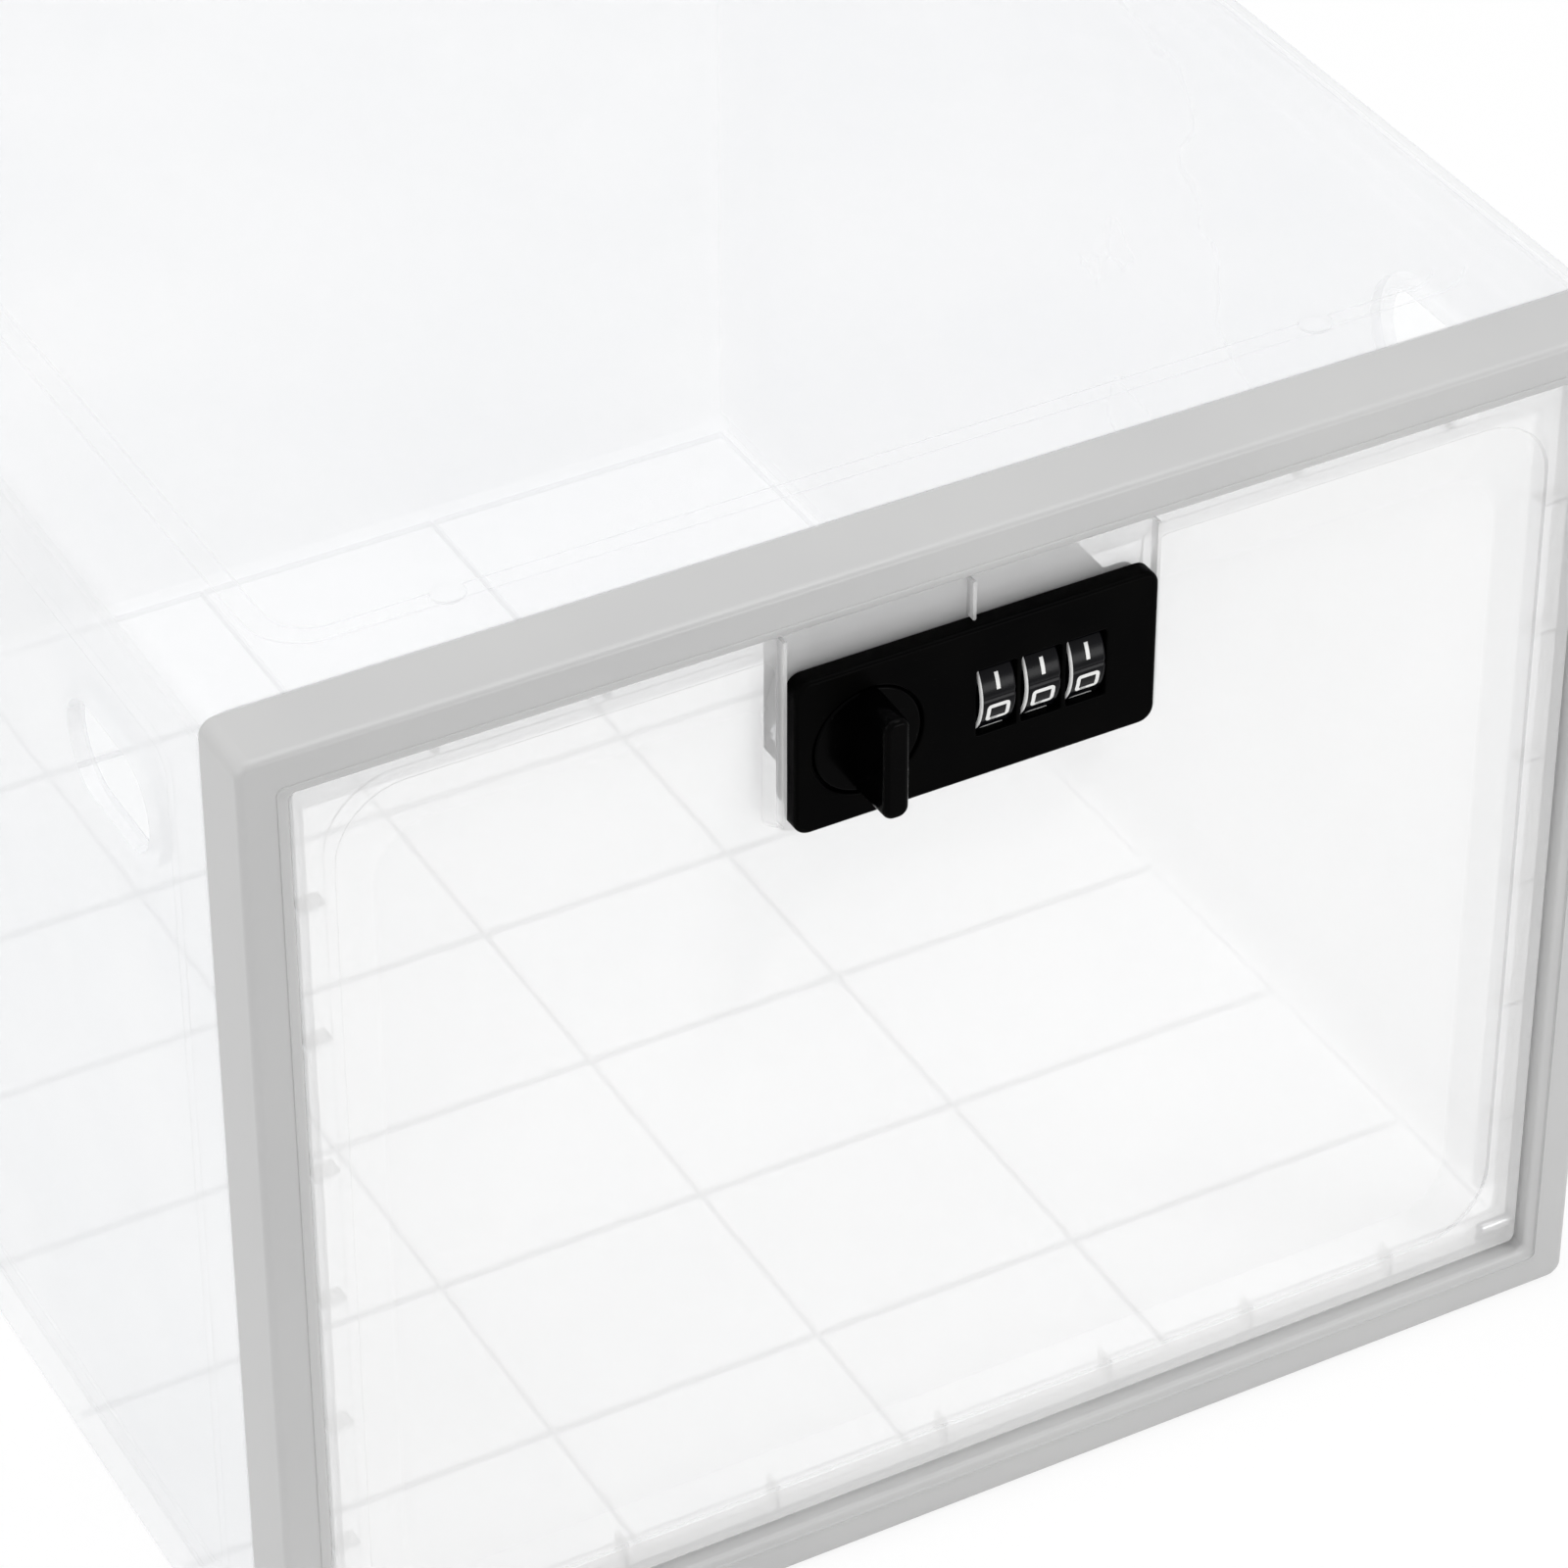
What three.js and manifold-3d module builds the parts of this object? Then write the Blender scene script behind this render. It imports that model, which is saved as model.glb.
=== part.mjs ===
// Lockable storage box: a clear plastic box with a grey front frame, a clear drop-down door
// and a three-dial combination lock. Millimetres, +Z up, the door faces -Y.

import * as THREE from 'three';
import { mergeVertices } from 'three/addons/utils/BufferGeometryUtils.js';
import Module from 'manifold-3d';

const wasm = await Module();
wasm.setup();

// Clearances
const gap = 0.3;
const overrun = 1;
const lap = 0.4;

// Front frame
const frameWidth = 280;
const frameHeight = 227;
const frameDepth = 15.4;
const barFace = 9.5;
const frameCornerRadius = 3;
const frameInnerRadius = 1.5;
const frameEdgeChamfer = 1.6;
const frameInnerChamfer = 1;
const skirtWall = 2.7;
const neckWall = 2;
const stopThickness = 2;
const stopWidth = 6;
const stopDrop = 10.6;
const stopRise = 12;
const strikeWidth = 16;
const strikeHeight = 8;
const strikeGap = 0.5;

// Box body
const boxDepth = 350;
const bodyWall = 2.2;
const bodyEdgeRadius = 6;
const bodyBaseRadius = 1.2;
const sideDraft = 2.1;
const topDraft = 2.4;
const flangeThickness = 2.5;
const underfloorDepth = 1.8;
const floorRibWidth = 1.2;
const crossRibCount = 6;
const crossRibStart = 55.2;
const crossRibEnd = 50.8;
const longRibPitch = 59;
const longRibCount = 3;

// Embossed panels of the body
const embossDepth = 0.7;
const topEmbossInset = 23.5;
const topEmbossFront = 27.5;
const topEmbossBack = 24;
const topEmbossRadius = 11;
const sideEmbossFront = 29.5;
const sideEmbossBack = 22;
const sideEmbossBottom = 16;
const sideEmbossTop = 15.5;
const sideEmbossRadius = 6;

// Finger hole in each side
const handleLength = 35;
const handleHeight = 19.5;
const handleCentreY = 60.5;
const handleDrop = 41.5;
const handleRimWidth = 3;
const handleRimDepth = 1.5;

// Door
const doorGap = 0.7;
const doorSetBack = 3;
const doorThickness = 6;
const doorSkin = 1.8;
const doorRimWall = 1.6;
const doorCornerRadius = 2.5;
const panelSink = 3.5;
const panelWall = 1.3;
const panelSideInset = 18;
const panelBottomInset = 18.5;
const panelTopInset = 15.5;
const panelSideSlope = 9;
const panelBottomSlope = 7.5;
const panelTopSlope = 12.5;
const panelRadius = 14;
const panelFloorRadius = 11;
const notchMargin = 1.4;
const notchSlope = 1;
const notchRadius = 3;
const doorRibWidth = 1.2;
const sideRibCount = 6;
const sideRibStart = 42;
const sideRibEnd = 38;
const faceRibPlaces = [0, 36.7, 69, 101.4];

// Hinge
const pinRadius = 1.2;
const pinHeight = 14.5;
const pinSetBack = 6;
const pinInDoor = 6.5;
const pinInFrame = 3.4;
const barrelRadius = 2.8;
const doorLipRadius = 1.3;

// Lock: plate on the door's face
const lockWidth = 73;
const lockHeight = 32.5;
const lockDrop = 35.5;
const lockProud = 1.2;
const lockCornerRadius = 3;
const lockEdgeChamfer = 0.8;
const windowHeight = 14.4;
const windowWall = 2;
const lockScrewX = 33.7;

// Lock: case behind the door
const caseHeight = 24.6;
const caseWall = 1.3;
const caseFlangeReach = 5;
const caseFlangeRise = 1.9;
const caseFlangeThickness = 1.5;
const cutoutGap = 0.4;
const knobRoomHalf = 7.3;

// Lock: dials, code sleeves and code spindle
const dialRadius = 10.2;
const dialThickness = 7.2;
const dialPitch = 9.1;
const dialMiddleX = 12.8;
const dialProud = 0.8;
const dialChamfer = 0.5;
const dialSideGap = 0.4;
const dialRunGap = 0.7;
const dialBackGap = 0.5;
const dialRoomMargin = 1;
const sleeveRadius = 4.6;
const sleeveLength = 8.6;
const sleeveRoomRadius = 3.3;
const sleeveWeb = 1;
const keyHeight = 0.8;
const keyWidth = 1.6;
const spindleRadius = 1.6;
const spindleBite = 0.4;
const finReach = 2.9;
const finWidth = 1.2;
const finThickness = 0.8;
const finGap = 0.4;
const collarRadius = 3;
const collarThickness = 1.2;
const collarSetBack = 1;
const partitionWall = 1.2;
const springWire = 0.6;
const springMeanRadius = 2.3;
const springTurns = 8;
const springRoomHalf = 3.6;

// Lock: leaf spring under the dials
const leafThickness = 0.4;
const leafSeat = 4.6;
const leafWidth = 4;
const leafTipGap = 0.4;

// Lock: knob, cam and their screw
const knobX = -22;
const wellRadius = 11;
const wellDepth = 2.2;
const knobSideGap = 0.4;
const knobSink = 0.2;
const bladeWidth = 5;
const bladeLength = 21;
const bladeProud = 10.3;
const shaftRadius = 4;
const lobeRadius = 4;
const lobeOffset = 2.2;
const lobeThickness = 3;
const lobeRunGap = 0.8;
const squareSide = 5.4;
const camLength = 29.5;
const camWidth = 11;
const camThickness = 1.8;
const washerRadius = 4.8;
const washerThickness = 0.8;
const camScrewHeadRadius = 3.6;
const camScrewHeadHeight = 2;
const camScrewRadius = 1.2;
const camScrewLength = 7;

// Lock: mounting screws and reset lever
const screwRadius = 1.2;
const screwHeadRadius = 2.3;
const screwHeadHeight = 1.8;
const screwTipWall = 2.3;
const leverThickness = 1.4;
const leverDepth = 6.5;
const leverHeight = 6;
const leverTabHeight = 3;
const leverTabReach = 2;
const leverLow = 8;
const leverTravel = 3;

// Facets of a full turn
const fineFacets = 40;
const plainFacets = 24;
const cornerSteps = 5;
const coilSteps = 8;
const wireSides = 5;

// Sizes worked out from the values above, measured from the frame's front plane and the table
const halfWidth = frameWidth / 2;
const openingHalf = halfWidth - barFace;
const openingTop = frameHeight - barFace;
const doorHalf = openingHalf - doorGap;
const doorBottom = barFace + doorGap;
const doorTop = openingTop - doorGap;
const doorBack = doorSetBack + doorThickness;
const skinBack = doorSetBack + doorSkin;
const panelFloor = doorSetBack + panelSink;
const neckFront = doorBack + gap;
const bodyFront = frameDepth + gap;
const neckInset = skirtWall + gap;
const mouthInset = neckInset + neckWall;
const floorTop = underfloorDepth + bodyWall;
const lockZ = frameHeight - lockDrop;
const lockFront = -lockProud;
const lockBack = doorSetBack - gap;
const dialAxisY = lockFront - dialProud + dialRadius;
const roomHalfHeight = dialRadius + dialRunGap;
const roomBack = dialAxisY + dialRadius + dialBackGap;
const caseBack = roomBack + caseWall;
const flangeFront = skinBack + gap;
const flangeBack = flangeFront + caseFlangeThickness;
const dialPlaces = [-1, 0, 1].map((step) => dialMiddleX + step * dialPitch);
const dialRoomLeft = dialPlaces[0] - dialThickness / 2 - dialRoomMargin;
const dialRoomRight = dialPlaces[2] + dialThickness / 2 + dialRoomMargin;
const endRoomLeft = dialRoomRight + partitionWall;
const endRoomRight = endRoomLeft + leverThickness + 2 * gap;
const caseHalf = endRoomRight + caseWall;
const knobRoomLeft = caseWall - caseHalf;
const knobRoomRight = knobX + knobRoomHalf;
const springRoomRight = dialRoomLeft - partitionWall;
const spindleLeft = knobX + shaftRadius + lap;
const spindleRight = dialRoomRight + spindleBite;
const boreRadius = spindleRadius + gap;
const shaftBore = shaftRadius + gap;
const camFront = caseBack + gap;
const camBack = camFront + camThickness;
const screwHole = screwRadius + gap;
const lockScrewPlaces = [-lockScrewX, lockScrewX];

// Solids and how they are joined
function solid(geometry) {
  geometry.deleteAttribute('normal');
  geometry.deleteAttribute('uv');
  const merged = mergeVertices(geometry);
  const mesh = new wasm.Mesh({
    numProp: 3,
    vertProperties: new Float32Array(merged.attributes.position.array),
    triVerts: new Uint32Array(merged.index.array),
  });
  return new wasm.Manifold(mesh);
}

function join(...solids) {
  return solids.reduce((sum, next) => sum.add(next));
}

function cut(body, ...tools) {
  return tools.reduce((rest, tool) => rest.subtract(tool), body);
}

// Box between two corners
function block([x0, x1], [y0, y1], [z0, z1]) {
  const geometry = new THREE.BoxGeometry(x1 - x0, y1 - y0, z1 - z0);
  geometry.translate((x0 + x1) / 2, (y0 + y1) / 2, (z0 + z1) / 2);
  return solid(geometry);
}

// Round bar along Y, and along X
function barY(radius, [y0, y1], x, z, facets = plainFacets) {
  const geometry = new THREE.CylinderGeometry(radius, radius, y1 - y0, facets);
  geometry.translate(x, (y0 + y1) / 2, z);
  return solid(geometry);
}

function barX(radius, [x0, x1], y, z, facets = plainFacets) {
  const geometry = new THREE.CylinderGeometry(radius, radius, x1 - x0, facets);
  geometry.rotateZ(Math.PI / 2);
  geometry.translate((x0 + x1) / 2, y, z);
  return solid(geometry);
}

// Outline with a round at each corner, counter-clockwise; a corner is [across, up, radius]
function roundedOutline(corners) {
  const points = [];
  const count = corners.length;
  corners.forEach(([x, z, radius], index) => {
    const [px, pz] = corners[(index + count - 1) % count];
    const [nx, nz] = corners[(index + 1) % count];
    const here = new THREE.Vector2(x, z);
    const back = new THREE.Vector2(px - x, pz - z).normalize();
    const ahead = new THREE.Vector2(nx - x, nz - z).normalize();
    const turn = back.x * ahead.y - back.y * ahead.x < 0 ? 1 : -1;
    const start = here.clone().addScaledVector(back, radius);
    const centre = start.clone().addScaledVector(ahead, radius);
    const spoke = start.clone().sub(centre);
    for (let step = 0; step <= cornerSteps; step += 1) {
      const angle = (turn * step * Math.PI) / (2 * cornerSteps);
      points.push(spoke.clone().rotateAround(new THREE.Vector2(), angle).add(centre));
    }
  });
  return points;
}

function rectangleOutline([x0, x1], [z0, z1], radius) {
  return roundedOutline([[x0, z0, radius], [x1, z0, radius], [x1, z1, radius], [x0, z1, radius]]);
}

// Frame-shaped outline, set in from the frame's outside by one inset all round
function insetOutline(inset, radius) {
  return rectangleOutline([inset - halfWidth, halfWidth - inset], [inset, frameHeight - inset], radius);
}

// Stadium along X, with its centre at the origin
function stadiumOutline(length, height) {
  const radius = height / 2;
  const [x, z] = [length / 2, height / 2];
  return roundedOutline([[-x, -z, radius], [x, -z, radius], [x, z, radius], [-x, z, radius]]);
}

// Skin between two outlines of as many points, one behind the other
function loft(front, y0, back, y1) {
  const faces = THREE.ShapeUtils.triangulateShape(front, []);
  const backFaces = THREE.ShapeUtils.triangulateShape(back, []);
  const count = front.length;
  const positions = [];
  front.forEach((point) => positions.push(point.x, y0, point.y));
  back.forEach((point) => positions.push(point.x, y1, point.y));
  const index = [];
  faces.forEach(([a, b, c]) => index.push(a, b, c));
  backFaces.forEach(([a, b, c]) => index.push(count + a, count + c, count + b));
  for (let i = 0; i < count; i += 1) {
    const j = (i + 1) % count;
    index.push(i, count + i, count + j, i, count + j, j);
  }
  const geometry = new THREE.BufferGeometry();
  geometry.setAttribute('position', new THREE.Float32BufferAttribute(positions, 3));
  geometry.setIndex(index);
  return solid(geometry);
}

function prismY(outline, [y0, y1]) {
  return loft(outline, y0, outline, y1);
}

// Prism of an outline drawn in Y and Z, along X
function extrusionX(outline, [x0, x1]) {
  const depth = x1 - x0;
  const geometry = new THREE.ExtrudeGeometry(new THREE.Shape(outline), { depth, bevelEnabled: false });
  geometry.rotateX(Math.PI / 2);
  geometry.rotateZ(Math.PI / 2);
  geometry.translate(x0, 0, 0);
  return geometry;
}

function prismX(outline, span) {
  return solid(extrusionX(outline, span));
}

// Box body: tapered shell with a neck that plugs into the frame and stops the door
function depthShare(y) {
  return (y - bodyFront) / (boxDepth - bodyFront);
}

function bodyLoft(inset, [baseRadius, topRadius], bottom, [y0, y1]) {
  const outline = (y) => {
    const half = halfWidth - inset - sideDraft * depthShare(y);
    const top = frameHeight - inset - topDraft * depthShare(y);
    return roundedOutline([
      [-half, bottom, baseRadius],
      [half, bottom, baseRadius],
      [half, top, topRadius],
      [-half, top, topRadius],
    ]);
  };
  return loft(outline(y0), y0, outline(y1), y1);
}

function floorRibs() {
  const ribs = [];
  const half = floorRibWidth / 2;
  const rise = [0, underfloorDepth + lap];
  const crossRibPitch = (boxDepth - crossRibStart - crossRibEnd) / (crossRibCount - 1);
  for (let k = 0; k < crossRibCount; k += 1) {
    const y = crossRibStart + k * crossRibPitch;
    const reach = halfWidth - bodyWall / 2 - sideDraft * depthShare(y);
    ribs.push(block([-reach, reach], [y - half, y + half], rise));
  }
  for (let k = 0; k < longRibCount; k += 1) {
    const x = (k - (longRibCount - 1) / 2) * longRibPitch;
    const span = [bodyFront + bodyWall / 2, boxDepth - bodyWall / 2];
    ribs.push(block([x - half, x + half], span, rise));
  }
  return ribs;
}

// Cutters for the shallow panels, turned to lie along the tapered walls
function sideEmboss(side) {
  const outline = rectangleOutline(
    [sideEmbossFront - bodyFront, boxDepth - sideEmbossBack - bodyFront],
    [sideEmbossBottom, frameHeight - sideEmbossTop],
    sideEmbossRadius,
  );
  const span = side > 0 ? [-embossDepth, overrun] : [-overrun, embossDepth];
  const geometry = extrusionX(outline, span);
  geometry.rotateZ(side * Math.atan(sideDraft / (boxDepth - bodyFront)));
  geometry.translate(side * halfWidth, bodyFront, 0);
  return solid(geometry);
}

function topEmboss() {
  const x = halfWidth - topEmbossInset;
  const ends = [topEmbossFront - bodyFront, boxDepth - topEmbossBack - bodyFront];
  const shape = new THREE.Shape(rectangleOutline([-x, x], ends, topEmbossRadius));
  const geometry = new THREE.ExtrudeGeometry(shape, { depth: embossDepth + overrun, bevelEnabled: false });
  geometry.translate(0, 0, -embossDepth);
  geometry.rotateX(-Math.atan(topDraft / (boxDepth - bodyFront)));
  geometry.translate(0, bodyFront, frameHeight);
  return solid(geometry);
}

function handleOutline(growth) {
  const outline = stadiumOutline(handleLength + 2 * growth, handleHeight + 2 * growth);
  const z = frameHeight - handleDrop;
  return outline.map((point) => new THREE.Vector2(point.x + handleCentreY, point.y + z));
}

function handleRim(side) {
  const outer = side * (halfWidth - bodyWall + lap - sideDraft * (handleCentreY / boxDepth));
  const inner = outer - side * (handleRimDepth + lap);
  return prismX(handleOutline(handleRimWidth), [Math.min(outer, inner), Math.max(outer, inner)]);
}

function doorway() {
  const span = [neckFront - overrun, neckFront + stopThickness + overrun];
  const stopHalf = openingHalf - stopWidth;
  return join(
    block([-openingHalf, openingHalf], span, [barFace, barFace + stopRise]),
    block([-stopHalf, stopHalf], span, [barFace, openingTop - stopDrop]),
  );
}

function strike() {
  const top = frameHeight - mouthInset;
  return block(
    [knobX - strikeWidth / 2, knobX + strikeWidth / 2],
    [neckFront + stopThickness - lap, camFront - strikeGap],
    [top - strikeHeight, top + lap],
  );
}

function bodyShell() {
  const innerRadius = bodyEdgeRadius - bodyWall;
  const innerSpan = [bodyFront + bodyWall, boxDepth - bodyWall];
  const outer = bodyLoft(0, [bodyBaseRadius, bodyEdgeRadius], 0, [bodyFront, boxDepth]);
  const cavitySpan = [bodyFront - overrun, innerSpan[1]];
  const cavity = bodyLoft(bodyWall, [innerRadius, innerRadius], floorTop, cavitySpan);
  const underside = bodyLoft(bodyWall, [bodyWall, bodyWall], -2 * bodyWall, innerSpan);
  const belowFloor = block([-halfWidth, halfWidth], [0, boxDepth], [-3 * bodyWall, underfloorDepth]);
  const flange = bodyLoft(
    lap,
    [bodyBaseRadius, bodyEdgeRadius],
    lap,
    [bodyFront + lap / 2, bodyFront + flangeThickness],
  );
  const neck = prismY(insetOutline(neckInset, frameCornerRadius), [neckFront, bodyFront + lap]);
  const mouth = prismY(
    insetOutline(mouthInset, frameCornerRadius),
    [neckFront + stopThickness, bodyFront + flangeThickness + overrun],
  );
  const shell = cut(outer, cavity, underside.intersect(belowFloor));
  const ribbed = join(shell, ...floorRibs(), flange, neck, handleRim(-1), handleRim(1));
  const holes = prismX(handleOutline(0), [-halfWidth - overrun, halfWidth + overrun]);
  const open = cut(ribbed, mouth, doorway(), holes, sideEmboss(-1), sideEmboss(1), topEmboss());
  return join(open, strike());
}

// Frame: four bars in one piece, with a skirt behind that goes over the neck of the body
function frontFrame() {
  const chamfer = loft(
    insetOutline(frameEdgeChamfer, frameCornerRadius),
    0,
    insetOutline(0, frameCornerRadius),
    frameEdgeChamfer,
  );
  const bars = join(chamfer, prismY(insetOutline(0, frameCornerRadius), [frameEdgeChamfer, frameDepth]));
  const opening = prismY(insetOutline(barFace, frameInnerRadius), [-overrun, frameDepth + overrun]);
  const openingEdge = loft(
    insetOutline(barFace - frameInnerChamfer, frameInnerRadius),
    0,
    insetOutline(barFace, frameInnerRadius),
    frameInnerChamfer,
  );
  const rebate = prismY(
    insetOutline(skirtWall, frameCornerRadius),
    [neckFront - gap, frameDepth + overrun],
  );
  const pinHoles = [-1, 1].map((side) => {
    const span = [side * (openingHalf - overrun), side * (openingHalf + pinInFrame + gap)];
    return barX(pinRadius + gap, [Math.min(...span), Math.max(...span)], pinSetBack, pinHeight);
  });
  return cut(bars, opening, openingEdge, rebate, ...pinHoles);
}

// Door: thin tray with a sunken panel that goes round the lock, and ribs behind its edge
function panelOutline(depthShareDown, growth) {
  const x = halfWidth - panelSideInset - panelSideSlope * depthShareDown + growth;
  const low = panelBottomInset + panelBottomSlope * depthShareDown - growth;
  const high = frameHeight - panelTopInset - panelTopSlope * depthShareDown + growth;
  const radius = THREE.MathUtils.lerp(panelRadius, panelFloorRadius, depthShareDown);
  const notchX = lockWidth / 2 + notchMargin + notchSlope * depthShareDown - growth;
  const notchZ = lockZ - lockHeight / 2 - notchMargin - notchSlope * depthShareDown + growth;
  return roundedOutline([
    [-x, low, radius],
    [x, low, radius],
    [x, high, radius],
    [notchX, high, notchRadius],
    [notchX, notchZ, notchRadius],
    [-notchX, notchZ, notchRadius],
    [-notchX, high, notchRadius],
    [-x, high, radius],
  ]);
}

function doorRibs() {
  const span = [skinBack - lap, doorBack];
  const half = doorRibWidth / 2;
  const sideReach = panelSideInset + panelSideSlope / 2;
  const low = [doorBottom, panelBottomInset + panelBottomSlope / 2];
  const high = [frameHeight - panelTopInset - panelTopSlope / 2, doorTop];
  const caseTop = lockZ + caseHeight / 2 + caseFlangeRise;
  const ribs = [];
  const across = (x, rise) => ribs.push(block([x - half, x + half], span, rise));
  faceRibPlaces.forEach((place) => {
    [-place, place].slice(place === 0 ? 1 : 0).forEach((x) => {
      across(x, low);
      if (place > lockWidth / 2 + notchMargin + half) across(x, high);
    });
  });
  across(0, [caseTop + gap, doorTop]);
  const sideRibPitch = (frameHeight - sideRibStart - sideRibEnd) / (sideRibCount - 1);
  for (let k = 0; k < sideRibCount; k += 1) {
    const z = sideRibStart + k * sideRibPitch;
    ribs.push(block([-doorHalf, sideReach - halfWidth], span, [z - half, z + half]));
    ribs.push(block([halfWidth - sideReach, doorHalf], span, [z - half, z + half]));
  }
  return ribs;
}

function doorOutline(inset) {
  return rectangleOutline(
    [inset - doorHalf, doorHalf - inset],
    [doorBottom + inset, doorTop - inset],
    doorCornerRadius - inset / 2,
  );
}

// Everything under the arc that lets the door's lower front edge turn past the frame
function lipCutter() {
  const arc = [];
  for (let step = 0; step <= cornerSteps; step += 1) {
    const angle = Math.PI + (step * Math.PI) / (2 * cornerSteps);
    arc.push(new THREE.Vector2(
      doorSetBack + doorLipRadius * (1 + Math.cos(angle)),
      doorBottom + doorLipRadius * (1 + Math.sin(angle)),
    ));
  }
  const corner = new THREE.Vector2(doorSetBack - overrun, doorBottom - overrun);
  const outline = [
    new THREE.Vector2(doorSetBack - overrun, arc[0].y),
    corner,
    new THREE.Vector2(arc[cornerSteps].x, doorBottom - overrun),
    ...arc.slice().reverse(),
  ];
  return prismX(outline, [-halfWidth, halfWidth]);
}

function doorPanel() {
  const tray = cut(
    prismY(doorOutline(0), [doorSetBack, doorBack]),
    prismY(doorOutline(doorRimWall), [skinBack, doorBack + overrun]),
  );
  const [edge, floor] = [panelOutline(0, 0), panelOutline(1, 0)];
  const sunken = join(
    loft(edge, doorSetBack, floor, panelFloor),
    prismY(edge, [doorSetBack - overrun, doorSetBack]),
  );
  const bulge = loft(
    panelOutline(0, panelWall),
    doorSetBack + lap,
    panelOutline(1, panelWall),
    panelFloor + doorSkin,
  );
  const barrels = [-1, 1].map((side) => {
    const span = [side * doorHalf, side * (doorHalf - pinInDoor - doorSkin)];
    return barX(barrelRadius, [Math.min(...span), Math.max(...span)], pinSetBack, pinHeight);
  });
  const pinHoles = [-1, 1].map((side) => {
    const span = [side * (doorHalf + overrun), side * (doorHalf - pinInDoor - gap)];
    return barX(pinRadius + gap, [Math.min(...span), Math.max(...span)], pinSetBack, pinHeight);
  });
  const cutoutX = caseHalf + cutoutGap;
  const cutoutZ = caseHeight / 2 + cutoutGap;
  const cutout = block([-cutoutX, cutoutX], [0, doorBack + overrun], [lockZ - cutoutZ, lockZ + cutoutZ]);
  const screwHoles = lockScrewPlaces.map((x) => barY(screwHole, [0, doorBack + overrun], x, lockZ));
  const door = cut(join(tray, bulge, ...doorRibs(), ...barrels), sunken);
  return cut(door, cutout, ...screwHoles, ...pinHoles, lipCutter());
}

function hingePin(side) {
  const span = [side * (doorHalf - pinInDoor), side * (openingHalf + pinInFrame)];
  return barX(pinRadius, [Math.min(...span), Math.max(...span)], pinSetBack, pinHeight);
}

// Face plate: windows for the dials, a well for the knob, blind holes for the screws
function lockOutline(inset) {
  const [x, z] = [lockWidth / 2 - inset, lockHeight / 2 - inset];
  return rectangleOutline([-x, x], [lockZ - z, lockZ + z], lockCornerRadius);
}

function lockFacePlate() {
  const edgeBack = lockFront + lockEdgeChamfer;
  const edge = loft(lockOutline(lockEdgeChamfer), lockFront, lockOutline(0), edgeBack);
  const plate = join(edge, prismY(lockOutline(0), [edgeBack, lockBack]));
  const room = block(
    [dialRoomLeft, dialRoomRight],
    [lockFront + windowWall, lockBack + overrun],
    [lockZ - roomHalfHeight, lockZ + roomHalfHeight],
  );
  const windows = dialPlaces.map((x) => {
    const half = dialThickness / 2 + dialSideGap;
    const span = [lockFront - overrun, lockFront + windowWall + overrun];
    return block([x - half, x + half], span, [lockZ - windowHeight / 2, lockZ + windowHeight / 2]);
  });
  const well = barY(wellRadius, [lockFront - overrun, lockFront + wellDepth], knobX, lockZ, fineFacets);
  const shaftRoom = lobeOffset + lobeRadius + lobeRunGap;
  const shaftHole = barY(shaftRoom, [lockFront, lockBack + overrun], knobX, lockZ);
  const screwHoles = lockScrewPlaces.map((x) => {
    return barY(screwHole, [lockFront + screwTipWall, lockBack + overrun], x, lockZ);
  });
  return cut(plate, room, ...windows, well, shaftHole, ...screwHoles);
}

// Case: rooms for the knob's shaft, the return spring, the dials and the end of the spindle
function lockCase() {
  const shellZ = caseHeight / 2;
  const flangeX = caseHalf + caseFlangeReach;
  const flangeZ = shellZ + caseFlangeRise;
  const mouth = doorSetBack - overrun;
  const tall = [lockZ - roomHalfHeight, lockZ + roomHalfHeight];
  const shell = join(
    block([-caseHalf, caseHalf], [doorSetBack, caseBack], [lockZ - shellZ, lockZ + shellZ]),
    prismY(
      rectangleOutline([-flangeX, flangeX], [lockZ - flangeZ, lockZ + flangeZ], lockCornerRadius),
      [flangeFront, flangeBack],
    ),
  );
  const leverZ = lockZ - leverLow;
  const slotLow = leverZ + (leverHeight - leverTabHeight) / 2 - gap;
  const slotHigh = slotLow + leverTabHeight + leverTravel + 2 * gap;
  const seat = dialAxisY + boreRadius;
  const boreRise = [lockZ - boreRadius, lockZ + boreRadius];
  const flangeHole = [flangeFront - overrun, flangeBack + overrun];
  return cut(
    shell,
    block([knobRoomLeft, knobRoomRight], [mouth, roomBack], tall),
    block([dialRoomLeft, dialRoomRight], [mouth, roomBack], tall),
    block([endRoomLeft, endRoomRight], [mouth, roomBack], tall),
    block(
      [knobRoomRight - lap, springRoomRight],
      [mouth, dialAxisY + springRoomHalf],
      [lockZ - springRoomHalf, lockZ + springRoomHalf],
    ),
    block([springRoomRight - lap, endRoomLeft + lap], [mouth, seat], boreRise),
    block([endRoomLeft, endRoomRight], [roomBack - lap, caseBack + overrun], [slotLow, slotHigh]),
    barY(shaftBore, [mouth, caseBack + overrun], knobX, lockZ),
    ...lockScrewPlaces.map((x) => barY(screwHole, flangeHole, x, lockZ)),
  );
}

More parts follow.
